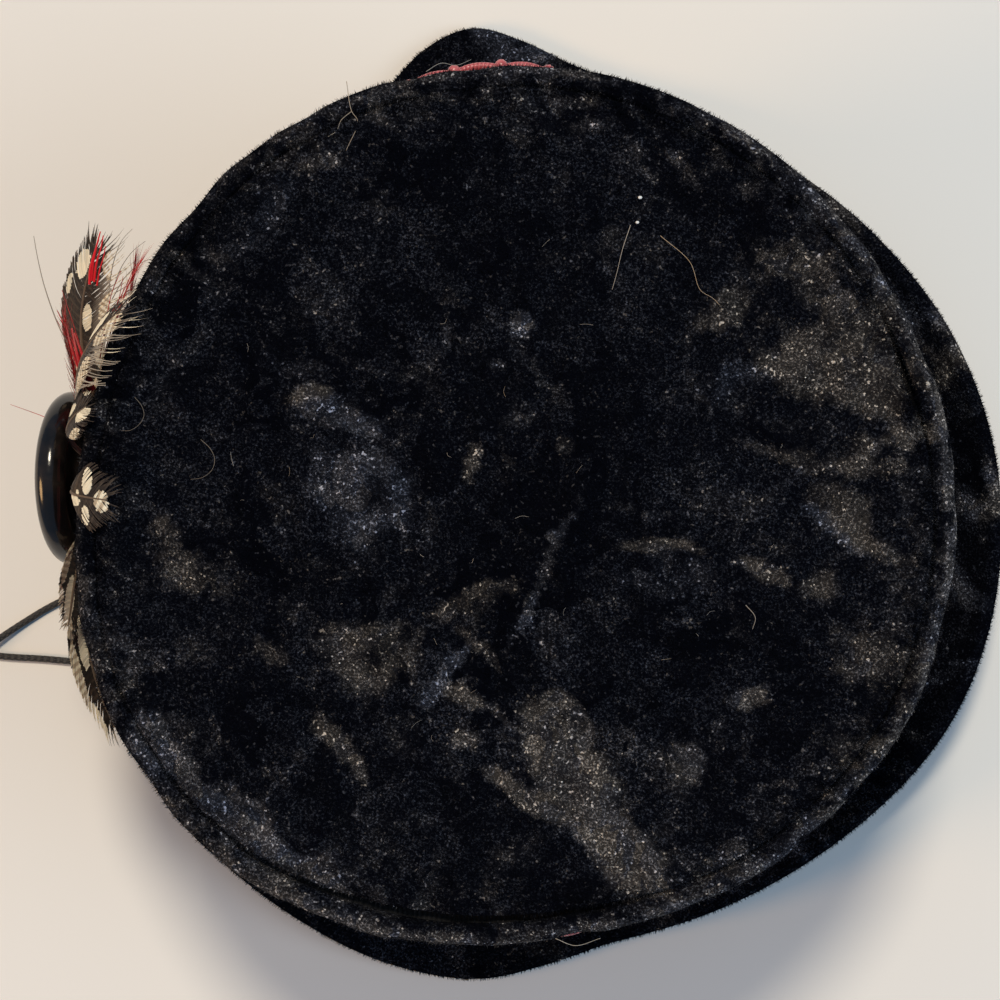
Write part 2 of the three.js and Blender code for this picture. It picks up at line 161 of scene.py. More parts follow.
def waves(points, size, seed, count=14):
    # soft random field of about -1 to 1: a sum of cosines with random directions and waves about size long,
    # over the root of half their count
    rng = np.random.default_rng(seed)
    field = np.zeros(points.shape[:-1])
    for _ in range(count):
        direction = unit(rng.normal(size=points.shape[-1]))
        length = size * rng.uniform(0.7, 1.5)
        field += np.cos(points @ direction * 2 * math.pi / length + rng.uniform(0, 2 * math.pi))
    return field / math.sqrt(count / 2)


class Nodes:
    # short names for the nodes of one material
    def __init__(self, name):
        self.material = bpy.data.materials.new(name)
        self.material.use_nodes = True
        self.tree = self.material.node_tree
        self.tree.nodes.clear()
        self.shader = self.add("ShaderNodeBsdfPrincipled")
        self.put(self.add("ShaderNodeOutputMaterial"), "Surface", self.shader.outputs["BSDF"])
        self.place = self.add("ShaderNodeTexCoord").outputs["Object"]

    def add(self, kind, **settings):
        node = self.tree.nodes.new(kind)
        for key, value in settings.items():
            setattr(node, key, value)
        return node

    def put(self, target, socket, value):
        if isinstance(value, bpy.types.NodeSocket):
            self.tree.links.new(value, target.inputs[socket])
        else:
            target.inputs[socket].default_value = value

    def sum(self, operation, a, b=0.0, c=0.0):
        node = self.add("ShaderNodeMath", operation=operation)
        for k, value in enumerate((a, b, c)):
            self.put(node, k, value)
        return node.outputs[0]

    def read(self, name, output="Fac"):
        return self.add("ShaderNodeAttribute", attribute_name=name).outputs[output]

    def parts(self, name):
        # the three numbers of a vector attribute
        split = self.add("ShaderNodeSeparateXYZ")
        self.put(split, 0, self.read(name, "Vector"))
        return split.outputs

    def scaled(self, vector, factor, shift):
        # vector times factor, plus shift
        node = self.add("ShaderNodeVectorMath", operation="MULTIPLY_ADD")
        for k, value in enumerate((vector, factor, shift)):
            self.put(node, k, value)
        return node.outputs[0]

    def drawnOut(self, kind, scale, degrees=0.0):
        # the place, turned about the vertical and stretched
        node = self.add("ShaderNodeMapping", vector_type=kind)
        self.put(node, "Vector", self.place)
        self.put(node, "Rotation", (0, 0, math.radians(degrees)))
        self.put(node, "Scale", scale)
        return node.outputs[0]

    def noise(self, perMetre, detail=2.0, roughness=0.5, place=None, distortion=0.0, output="Fac"):
        node = self.add("ShaderNodeTexNoise")
        values = {"Vector": self.place if place is None else place, "Scale": perMetre, "Detail": detail,
                  "Roughness": roughness, "Distortion": distortion}
        for key, value in values.items():
            self.put(node, key, value)
        return node.outputs[output]

    def span(self, value, low, high, toLow=0.0, toHigh=1.0):
        node = self.add("ShaderNodeMapRange")
        limits = {"From Min": low, "From Max": high, "To Min": toLow, "To Max": toHigh}
        for key, number in [("Value", value), *limits.items()]:
            self.put(node, key, number)
        return node.outputs[0]

    def mix(self, fraction, a, b, blend="MIX"):
        node = self.add("ShaderNodeMix", data_type="RGBA", blend_type=blend)
        self.put(node, 0, fraction)
        self.put(node, 6, a)
        self.put(node, 7, b)
        return node.outputs[2]

    def bump(self, height, distance, strength=1.0):
        node = self.add("ShaderNodeBump")
        self.put(node, "Height", height)
        self.put(node, "Distance", distance)
        self.put(node, "Strength", strength)
        self.put(self.shader, "Normal", node.outputs[0])

    def set(self, **values):
        for key, value in values.items():
            self.put(self.shader, key.replace("_", " "), value)


velvetLook = {
    "black": (0.0015, 0.0018, 0.0036, 1),     # where the pile stands up
    "cool": (0.31, 0.35, 0.48, 1),            # painted sheen: tips of the pile where it lies flat, lit from the window
    "warm": (0.56, 0.49, 0.42, 1),            # painted sheen on the same tips, lit from the room
    "facet": 105, "tuft": 950, "glint": 1550, "grain": 2700,    # cells per metre
    "streak": 330, "drawn": 2.8, "lay": -32,  # brushed streaks per metre, their length and turn
    "haze": 0.055, "stray": 0.29,             # light between the tips, and tips where the pile stands up
}


def velvetMaterial():
    # Painted sheen: amount of light = crush in crisp facets times (haze + grain^2.1), plus painted glints
    # where it is lit, painted into the base colour in the window's cool and the room's warm tone. Where the
    # pile stands up, a few tips show as grain^2.1 facets^1.5, painted in the cool tone.
    n = Nodes("velvet")
    crush, warmth = n.read("crush"), n.read("warmth")
    shifted = n.scaled(n.noise(120, 3, output="Color"), (0.022, 0.022, 0.022), n.place)
    shades = []
    for scale in (velvetLook["facet"], velvetLook["facet"] * 2.9):
        facet = n.add("ShaderNodeTexVoronoi")
        n.put(facet, "Vector", shifted)
        n.put(facet, "Scale", scale)
        split = n.add("ShaderNodeSeparateColor")
        n.put(split, 0, facet.outputs["Color"])
        shades.append(split.outputs[0])
    facets = n.sum("MULTIPLY_ADD", shades[0], 0.55, n.sum("MULTIPLY", shades[1], 0.45))
    fray = n.noise(420, 4, 0.65)
    brushed = n.drawnOut("TEXTURE", (velvetLook["drawn"], 1, 1), velvetLook["lay"])
    streak = n.noise(velvetLook["streak"], 3, 0.6, brushed, 0.7)
    speck = n.noise(velvetLook["tuft"], 3, 0.7)
    frayed = n.sum("ADD", fray, facets)
    specked = n.sum("ADD", streak, n.sum("MULTIPLY", speck, 0.7))
    edge = n.sum("ADD", crush, n.sum("MULTIPLY_ADD", frayed, 0.30, -0.30))
    edge = n.sum("ADD", edge, n.sum("MULTIPLY_ADD", specked, 0.55, -0.47))
    lit = n.sum("MULTIPLY", n.span(edge, 0.06, 0.6), n.sum("MULTIPLY_ADD", crush, 0.66, 0.17))
    lit = n.sum("MULTIPLY", lit, n.span(facets, 0.15, 0.85, 0.5, 1.2))
    grain = n.span(n.noise(velvetLook["grain"], 2, 0.75), 0.42, 0.70)
    tuft = n.span(speck, 0.35, 0.70, 0.25, 1.15)
    points = n.sum("MULTIPLY", n.sum("POWER", grain, 2.1), tuft)
    strength = n.sum("MULTIPLY", lit, n.sum("ADD", points, velvetLook["haze"]))
    paintedGlints = n.span(n.noise(velvetLook["glint"], 1, 0.5), 0.67, 0.77)
    paintedGlints = n.sum("MULTIPLY", paintedGlints, n.sum("MULTIPLY_ADD", lit, 3.4, 0.08))
    stray = n.sum("MULTIPLY", points, n.sum("MULTIPLY", n.sum("POWER", facets, 1.5), velvetLook["stray"]))
    amount = n.sum("MINIMUM", n.sum("ADD", strength, paintedGlints), 1.0)
    leaning = n.span(n.sum("ADD", warmth, n.sum("MULTIPLY_ADD", shades[1], 0.5, -0.25)), 0.2, 0.8)
    tone = n.mix(leaning, velvetLook["cool"], velvetLook["warm"])
    ground = n.mix(stray, velvetLook["black"], velvetLook["cool"])
    n.set(Base_Color=n.mix(amount, ground, tone), Roughness=0.7, Sheen_Weight=0.003,
          Specular_IOR_Level=n.sum("MULTIPLY", amount, 0.4))
    n.bump(n.sum("ADD", grain, fray), 0.0003, 0.8)
    return n.material


backingLook = {
    "dark": (0.006, 0.006, 0.007, 1), "light": (0.022, 0.021, 0.022, 1), "threads": 420, "uneven": 1.2,
}


def backingMaterial():
    # plain black cloth inside the crown: two crossed thread waves
    n = Nodes("backing")
    weave = []
    for direction in ("X", "Z"):
        wave = n.add("ShaderNodeTexWave", wave_type="BANDS", bands_direction=direction)
        n.put(wave, "Vector", n.place)
        n.put(wave, "Scale", backingLook["threads"])
        n.put(wave, "Distortion", backingLook["uneven"])
        weave.append(wave.outputs["Fac"])
    height = n.sum("MULTIPLY", weave[0], weave[1])
    n.set(Base_Color=n.mix(height, backingLook["dark"], backingLook["light"]),
          Roughness=0.85, Specular_IOR_Level=0.2)
    n.bump(height, 0.0003)
    return n.material


velvet = velvetMaterial()
backing = backingMaterial()

# The elastic: a thin braided cord that lies on the table.
elastic = {
    "diameter": 1.2,
    "route": [
        (-51.5, -4.2, 7.6), (-49.5, -5.4, 3.4), (-51.6, -7.8, 1), (-57, -9.8, 0.62), (-66, -11.6, 0.62),
        (-76, -13.2, 0.62), (-86.5, -16.2, 0.62), (-94, -20.4, 0.9), (-101.5, -25.6, 2.1),
        (-109, -31, 0.9), (-118, -36.5, 0.62), (-129, -39.5, 0.62), (-139.5, -36.5, 0.62),
        (-145, -28, 0.62), (-143.5, -18.5, 0.62), (-135.5, -13.4, 0.62), (-125.5, -15.6, 0.62),
        (-116, -21, 0.62), (-107.5, -25, 0.62), (-98.3, -26.3, 0.62), (-90, -26.8, 0.62),
        (-82, -27.4, 0.62), (-68, -27.6, 0.62), (-50, -26, 0.62), (-28, -22.4, 0.62), (-4, -17.6, 0.62),
        (20, -11.6, 0.62), (38, -6, 0.62), (46, -3.2, 1), (50, -1.6, 3.4), (52, -0.6, 7),
    ],
    "ends": (183.8, 0),                       # degrees round the crown's foot
    "perSpan": 14, "points": 420, "sides": 12,
    "endRadius": 55.4, "endHeight": 10.7,
    "colour": (0.010, 0.008, 0.007, 1), "light": (0.045, 0.036, 0.028, 1),
}


def smoothPath(points, perSpan):
    # centripetal Catmull-Rom: a cubic between each two points, its slopes from the chords, each weighed
    # by the root of its length
    points = np.asarray(points, dtype=float)
    padded = np.vstack([2 * points[0] - points[1], points, 2 * points[-1] - points[-2]])
    t = np.linspace(0, 1, perSpan, endpoint=False)[:, None]
    line = []
    for p0, p1, p2, p3 in zip(padded[:-3], padded[1:-2], padded[2:-1], padded[3:]):
        d0, d1, d2 = (math.sqrt(np.linalg.norm(b - a)) for a, b in ((p0, p1), (p1, p2), (p2, p3)))
        m1 = ((p1 - p0) / d0 - (p2 - p0) / (d0 + d1) + (p2 - p1) / d1) * d1
        m2 = ((p2 - p1) / d1 - (p3 - p1) / (d1 + d2) + (p3 - p2) / d2) * d1
        square, cube = 3 * (p2 - p1) - 2 * m1 - m2, 2 * (p1 - p2) + m1 + m2
        line.append(p1 + m1 * t + square * t ** 2 + cube * t ** 3)
    return np.vstack(line + [points[-1:]])


def evenly(line, count):
    # the same line as count points at equal steps of length
    run = np.concatenate([[0], np.cumsum(np.linalg.norm(np.diff(line, axis=0), axis=1))])
    at = np.linspace(0, run[-1], count)
    return np.stack([np.interp(at, run, line[:, k]) for k in range(3)], 1), run[-1]


def tube(line, radius, sides, closed=False):
    # points in rings round a line, and the triangles; radius is one number or one per point. The ring is
    # turned as little as possible from each point to the next, so the tube doesn't twist. Ends get a fan.
    count = len(line)
    radius = np.broadcast_to(radius, (count,))
    along = unit(np.roll(line, -1, 0) - np.roll(line, 1, 0)) if closed else unit(np.gradient(line, axis=0))
    side = np.zeros_like(line)
    side[0] = unit(np.cross(along[0], (0.13, 0.21, 0.97)))
    for k in range(1, count):
        side[k] = unit(side[k - 1] - along[k] * (side[k - 1] @ along[k]))
    up = np.cross(along, side)
    turn = 2 * math.pi * np.arange(sides) / sides
    ring = side[:, None] * np.cos(turn)[None, :, None] + up[:, None] * np.sin(turn)[None, :, None]
    points = (line[:, None] + ring * radius[:, None, None]).reshape(-1, 3)
    quads = gridQuads(count, sides, closed)[:, ::-1]
    fans = []
    if not closed:
        k = np.arange(1, sides - 1)
        for start, order in ((0, [0, 1, 2]), ((count - 1) * sides, [0, 2, 1])):
            fans.append(np.stack([start + 0 * k, start + k + 1, start + k], 1)[:, order])
    return points, triangles(quads, *fans)


def tubeRun(along, sides):
    # for each point of a tube: how far along the line it is, and its angle round it
    turn = np.tile(2 * math.pi * np.arange(sides) / sides, len(along))
    return np.stack([np.repeat(along, sides), turn, 0 * turn], 1)


def elasticMaterial():
    n = Nodes("elastic")
    along, turn, _ = n.parts("run")
    strands = []
    for sign in (1.0, -1.0):
        phase = n.sum("ADD", n.sum("MULTIPLY", along, 5.2), n.sum("MULTIPLY", turn, sign * 6.0))
        strands.append(n.sum("MULTIPLY_ADD", n.sum("SINE", phase), 0.5, 0.5))
    braid = n.sum("MULTIPLY", strands[0], strands[1])
    colour = n.mix(n.span(braid, 0.1, 0.8), elastic["colour"], elastic["light"])
    n.set(Base_Color=colour, Roughness=0.55, Sheen_Weight=0.1)
    n.bump(braid, 0.00012)
    return n.material


def makeElastic():
    ends = polar(np.array(elastic["ends"]), elastic["endRadius"], elastic["endHeight"])
    path = smoothPath([ends[0], *elastic["route"], ends[1]], elastic["perSpan"])
    line, length = evenly(path, elastic["points"])
    points, faces = tube(line, elastic["diameter"] / 2, elastic["sides"])
    run = tubeRun(np.linspace(0, length, len(line)), elastic["sides"])
    piece = makeMesh("elasticCord", points, faces, elasticMaterial(), values={"run": run})
    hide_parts("chin_elastic")
    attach(piece, "root")
    stage(f"elastic, {length:.0f} mm long")


makeElastic()

# The hat's own form.
crown = {
    "tip": 66.5, "height": 65, "foot": 58.5, "flare": 2.2, "wall": 2.2,
    "roll": 1.7, "seam": 5, "seamThick": 1.2, "panel": 2.2, "dome": 1.6, "gap": 0.3,
    "tipSectors": 300, "topRows": 46, "edgeRows": 14, "sideSectors": 360, "wallRows": 34, "rollRows": 18,
    # degrees round, outline as a share of the tip, how far the seam draws the panel in
    "outline": [
        (0, 0.995, 0), (9, 0.993, 0), (18, 0.991, 0.32), (28, 0.99, 0), (50, 0.995, 0), (85, 1.008, 0),
        (125, 1.01, 0), (145, 1, 0), (180, 0.995, 0), (202, 1.025, 0), (232, 1.028, 0.2),
        (250, 1.005, 0.6), (266, 0.985, 0.7), (284, 0.962, 0.2), (305, 0.98, 0), (332, 1, 0),
    ],
    # degrees round, how much grey sheen is painted on its rolled edge
    "wearAndSheen": [
        (0, 0.95), (30, 0.92), (50, 0.7), (80, 0.5), (120, 0.4), (180, 0.35), (225, 0.4), (242, 0.75),
        (285, 0.75), (305, 0.65), (335, 0.85),
    ],
    # dents in the panel: x, y, long, wide as shares of the tip, turn in degrees, depth as share of the dome
    "dents": [
        (-0.62, -0.2, 0.36, 0.07, 3, 0.55), (-0.12, -0.29, 0.2, 0.06, -32, 0.6),
        (0.12, -0.02, 0.17, 0.05, 58, -0.6), (0.3, -0.42, 0.3, 0.2, -40, 0.5),
        (0.66, 0.27, 0.26, 0.06, -10, 0.6), (0.72, 0, 0.2, 0.05, -32, 0.55),
        (-0.3, 0.14, 0.22, 0.14, -24, -0.5), (-0.25, 0.62, 0.3, 0.09, 22, 0.45),
        (-0.55, -0.55, 0.3, 0.1, -48, -0.4), (0.45, 0.62, 0.24, 0.12, -38, 0.4),
    ],
}
brim = {
    "reach": 80, "thick": 2.8, "dip": 5, "curl": 15, "margin": 2.2, "sectors": 400, "rows": 24,
    # degrees round, outline as a share of the reach, height of the edge as a share of the curl
    "outline": [
        (0, 0.995, 1), (20, 0.975, 0.9), (40, 0.943, 0.66), (58, 0.925, 0.36), (76, 0.945, 0.1),
        (86, 0.99, 0), (92, 1.04, 0), (98, 1.082, 0), (104, 1.06, 0), (112, 0.985, 0.08),
        (128, 0.955, 0.42), (155, 0.985, 0.86), (180, 1.01, 1), (200, 1.035, 0.9), (222, 1.043, 0.62),
        (240, 1.05, 0.3), (252, 1.062, 0.04), (262, 1.05, 0), (271, 1.004, 0), (279, 0.968, 0),
        (292, 0.953, 0.22), (310, 0.965, 0.56), (335, 1, 0.92),
    ],
}
footZ = brim["dip"] + brim["thick"] + crown["gap"]
rimZ = footZ + crown["height"]
ledgeZ = rimZ - 2 * crown["roll"]

# where the top's pile lies flat and its sheen is painted: x, y, half length, half width, turn in degrees,
# how flat, how warm its painted light is
patches = np.array([
    (-36.5, 44.6, 5.7, 2.2, 65, 0.35, -0.6), (-42.5, 37.6, 3.3, 2.2, 20, 0.3, -0.2),
    (-53, 33.4, 2.2, 1.5, 0, 0.25, -0.5), (-29, 51.8, 4, 2.2, 25, 0.4, 0.3),
    (1.3, 56.6, 2.1, 1.3, 0, 0.3, 0), (-5, 49.9, 4.2, 0.6, 45, 0.3, -0.3),
    (2.5, 28.1, 2.5, 1.5, 60, 0.8, -0.2), (-2.8, 22.1, 3, 0.7, 20, 0.5, 0),
    (-30.1, 17.9, 3.9, 1.2, 10, 0.75, 0.6), (-25.3, 14.6, 8.2, 3.2, -20, 0.6, -0.5),
    (-21.5, 2.2, 9.5, 7.2, -25, 0.58, -0.5), (-35.8, 21.4, 4.5, 2.2, 0, 0.2, -0.7),
    (8.5, 10.1, 3.3, 2.2, 40, 0.5, 0.5), (1.7, 13.9, 3, 1.5, 0, 0.3, 0),
    (5.2, -9.2, 14.5, 0.85, 64, 0.5, -0.1), (41.8, 8.7, 9, 1.2, -15, 0.35, 0.5),
    (-4.8, -12.6, 7.8, 1.5, 20, 0.45, 0.6), (-4.5, -20.6, 5, 1.1, -45, 0.5, 0.4),
    (-48, -9, 7, 3.6, -10, 0.55, 0.3), (-53, -2.6, 1.8, 1.2, 0, 0.4, 0.4),
    (-31.3, -8.6, 6, 1.8, 0, 0.2, 0.5), (-35.8, -20.6, 4.2, 1.6, 0, 0.45, 0.4),
    (-22.5, -21.5, 6.6, 4.2, -25, 0.6, 0.5), (-15.5, -20.5, 3.7, 2.4, 70, 0.35, 0.5),
    (-8.8, -22.1, 2.1, 1.5, 0, 0.4, -0.6), (-25.3, -34.9, 6.3, 1.5, -50, 0.55, 0.5),
    (-9.8, -24.8, 6, 1.3, 55, 0.45, -0.8), (6.5, -33.5, 8.5, 4.2, -60, 0.75, 0.4),
    (10, -40.5, 8.5, 6.2, -35, 0.75, 0.5), (15.5, -50, 9.5, 3.6, -38, 0.85, 0.3),
    (2, -42, 7, 1.5, -30, 0.7, 0.5), (-4.6, -28.6, 6, 1, -32, 0.6, 0.5),
    (-5.4, 7.2, 3.2, 1.3, 64, 0.5, 0.6), (-6.5, -33.4, 2.2, 1.5, 0, 0.5, 0.3),
    (25.7, -36.7, 3.3, 3, 0, 0.85, 0.2), (35.5, -27.1, 3.7, 1.2, 20, 0.6, 0.2),
    (54.2, -22.1, 6.3, 4.2, -20, 0.45, 0.5), (51.2, -34.1, 4.5, 3, 0, 0.25, 0.3),
    (34.7, -52.1, 6.3, 3, 30, 0.4, 0), (46, 33.7, 11.7, 3.3, -35, 0.55, 0.4),
    (48.2, 21.7, 13.5, 5.7, -12, 0.75, 0.6), (56.9, 10.9, 5.7, 2.1, 10, 0.7, 0.6),
    (52.7, 6.4, 6.7, 1.8, -5, 0.5, 0.6), (51.2, -1.9, 8.7, 3.3, -38, 0.7, 0.5),
    (48.2, -2.6, 6, 1.2, -40, 0.5, -0.7), (46, -10.1, 4, 2.7, 0, 0.6, 0.5),
    (37.7, -8.6, 4.5, 1.5, -30, 0.5, 0.4), (22.7, -5.3, 6.3, 1.3, -5, 0.55, 0.6),
    (22.7, -10.1, 6.3, 3, 0, 0.3, -0.7), (31.7, 29.6, 3.3, 2.2, 0, 0.5, 0.9),
    (35.5, 19.9, 4.2, 2.4, 0, 0.4, -0.6), (26, 50.6, 4.5, 0.9, -55, 0.35, 0),
    (12.2, 57.3, 2.4, 1.3, 0, 0.3, 0), (-53, -34.9, 6.7, 3.3, -45, 0.7, -0.3),
    (-41, -46.1, 9, 3.9, -40, 0.75, -0.3), (-29.8, -54.3, 6.7, 2.7, -32, 0.6, -0.2),
    (-18.5, -46.9, 6, 2.2, 0, 0.25, 0),
])
# where the pile stands up dark between them, the faint painted sheen held down: x, y, half length, half
# width, turn in degrees, how dark
quiet = np.array([
    (20.5, -21, 14, 11, -10, 0.85), (14, 28, 13, 11, 0, 0.75), (-14, 40, 12, 8, 15, 0.6),
    (-37, -29, 9, 9, 0, 0.6), (-49, 9, 9, 11, 0, 0.6), (-12, -43, 8, 8, 0, 0.7), (39, -27, 9, 9, 0, 0.5),
    (-8, 7, 8, 8, 0, 0.5), (30, 8, 10, 6, 0, 0.4),
])


def fromEllipse(place, x, y, long, wide, turn):
    # distance from the middle of a turned ellipse, as a share of its half length and half width
    c, s = math.cos(math.radians(turn)), math.sin(math.radians(turn))
    along = ((place[..., 0] - x) * c + (place[..., 1] - y) * s) / long
    across = ((place[..., 1] - y) * c - (place[..., 0] - x) * s) / wide
    return np.hypot(along, across)


def chartedCrush(points):
    # crush and warmth of the painted sheen on the top
    # each patch is a soft-edged ellipse, its outline frayed by shifting the place with two scales of waves;
    # narrow ones are shifted less, so they stay straight
    flat = points[..., :2]
    shift = np.stack([waves(flat, 11, 3) + waves(flat, 3.6, 4) * 0.45,
                      waves(flat, 11, 5) + waves(flat, 3.6, 6) * 0.45], -1)
    flat = flat + shift
    crush = np.zeros(flat.shape[:-1])
    warmth = np.zeros(flat.shape[:-1])
    for x, y, long, wide, turn, depth, warm in patches:
        narrow = wide < pile["narrow"]
        place = points[..., :2] + pile["narrowShift"] * shift if narrow else flat
        away = fromEllipse(place, x, y, long * pile["spread"], wide * pile["spread"], turn)
        spot = depth * (pile["narrowDepth"] if narrow else 1) * (1 - ease(away, 0.6, 1.1))
        crush += spot
        warmth += spot * warm
    warmth = 0.5 + 0.5 * warmth / np.maximum(crush, 0.05)
    texture = 0.92 + 0.16 * waves(points[..., :2], 6, 7)
    ridged = 1 - np.abs(waves(points[..., :2], 19, 8))
    # faint painted sheen in long ridges and soft clouds over the whole top
    faint = 0.20 * ease(ridged, 0.55, 1) + 0.12 * ease(waves(points[..., :2], 13, 9), 0.2, 1.4)
    for x, y, long, wide, turn, dark in quiet:
        faint = faint * (1 - dark * (1 - ease(fromEllipse(flat, x, y, long, wide, turn), 0.6, 1.1)))
    # more painted sheen towards the top's edge
    toEdge = 0.32 * ease(np.hypot(points[..., 0], points[..., 1]) / crown["tip"], 0.80, 1.0)
    crush = np.maximum(crush * texture, faint) + toEdge * (0.5 + 0.5 * waves(points[..., :2], 4, 10))
    return np.clip(crush, 0, 1), np.clip(warmth, 0, 1)


def wildCrush(points, amount, seed):
    # patches of painted sheen where two fields of waves are both high, in three dimensions
    drawn = points * (1, 1, 0.42)
    high = waves(drawn, 15, seed) + 0.7 * waves(drawn, 6, seed + 1)
    crush = amount * ease(high, -0.2, 2.2) * (0.85 + 0.2 * waves(drawn, 4, seed + 2))
    warmth = 0.5 + 0.45 * waves(points, 30, seed + 3)
    return np.clip(crush, 0, 1), np.clip(warmth, 0, 1)


def rimRadius(degrees):
    # the tip's radius times the outline's share of it
    return crown["tip"] * around(crown["outline"], degrees)[..., 0]


def drawnIn(degrees):
    # how far the seam draws the panel in, from 0 to 1
    return np.clip(around(crown["outline"], degrees)[..., 1], 0, 1)


def sideRadius(degrees, z):
    # foot to rim, as a power of the height, so the side is hollow like a trumpet
    share = np.clip((z - footZ) / crown["height"], 0, 1)
    return crown["foot"] + (rimRadius(degrees) - crown["foot"]) * share ** crown["flare"]


def tipRelief(x, y):
    # a low dome less its dents, dome (1 - r^2 - sum of deep exp(-d^2)); x and y are shares of the tip
    fromMiddle = np.minimum(1, np.hypot(x, y))
    dented = np.zeros_like(x)
    for dx, dy, long, wide, turn, deep in crown["dents"]:
        dented += deep * np.exp(-fromEllipse(np.stack([x, y], -1), dx, dy, long, wide, turn) ** 2)
    return crown["dome"] * (1 - fromMiddle ** 2 - (1 - ease(fromMiddle, 0.72, 0.94)) * dented)


pile = {
    "length": 0.9, "width": 0.078,            # of one tuft
    "standing": 20, "flat": 74,               # degrees that it leans
    "tip": 46000, "side": 48000, "brim": 48000, "under": 20000,    # tufts on each surface
    "narrow": 1.6, "narrowShift": 0.35, "narrowDepth": 1.45, "spread": 1.12,    # of the patches
}


def tufts(name, grid, normals, crush, warmth, count, seed, weight, length):
    # count tufts spread evenly by area times weight over a grid of points that goes round the hat: each is a
    # four-faced spike on a triangular foot, sunk a little into the cloth, leaning along a slowly turning
    # direction, more where the pile is crushed; tip = foot + reach (normal cos(tilt) + lean sin(tilt))
    rng = np.random.default_rng(seed)
    rows, columns = grid.shape[:2]
    i, j = np.meshgrid(np.arange(rows - 1), np.arange(columns), indexing="ij")
    i2, j2 = i + 1, (j + 1) % columns
    corner = [(i, j), (i2, j), (i2, j2), (i, j2)]
    a, b, c, d = (grid[k] for k in corner)
    area = 0.5 * np.linalg.norm(np.cross(c - a, d - b), axis=-1) * weight[:-1]
    pick = rng.choice(area.size, size=count, p=(area / area.sum()).ravel())
    u, v = rng.random(count), rng.random(count)
    share = [(1 - u) * (1 - v), u * (1 - v), u * v, (1 - u) * v]

    def at(field):
        values = (field[k].reshape(area.size, -1)[pick] for k in corner)
        return sum(value * part[:, None] for value, part in zip(values, share))

    foot, normal = at(grid), unit(at(normals))
    soft, warm = at(crush)[:, 0], at(warmth)[:, 0]
    turn = waves(foot, 26, seed + 1) * 2.2 + waves(foot, 5, seed + 2) * 0.8 + rng.normal(0, 0.35, count)
    side = unit(np.cross(normal, (0.31, 0.17, 0.93)))
    lean = side * np.cos(turn)[:, None] + np.cross(normal, side) * np.sin(turn)[:, None]
    tilt = np.radians(pile["standing"] + (pile["flat"] - pile["standing"]) * soft + rng.normal(0, 9, count))
    reach = pile["length"] * length * rng.uniform(0.55, 1.15, count)
    tip = foot + (normal * np.cos(tilt)[:, None] + lean * np.sin(tilt)[:, None]) * reach[:, None]
    across = np.cross(normal, lean)
    width = pile["width"] * rng.uniform(0.7, 1.4, count)[:, None]
    sunk = foot - normal * 0.2
    points = np.stack([sunk + across * width, sunk - across * width * 0.5 + lean * width * 0.87,
                       sunk - across * width * 0.5 - lean * width * 0.87, tip], 1).reshape(-1, 3)
    points[:, 2] = np.maximum(points[:, 2], 0.02)
    start = 4 * np.arange(count)[:, None]
    faces = np.concatenate([start + (0, 1, 2), start + (0, 3, 1), start + (1, 3, 2), start + (2, 3, 0)], 0)
    # each tuft carries the painted sheen of its place times a random shade, so a few tufts glint bright
    shade = 0.25 + 1.9 * rng.random(count) ** 1.8
    piece = makeMesh(name, points, faces, velvet, smooth=False, values={
        "crush": np.repeat(np.clip(soft * shade, 0, 1), 4), "warmth": np.repeat(warm, 4)})
    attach(piece, "root")


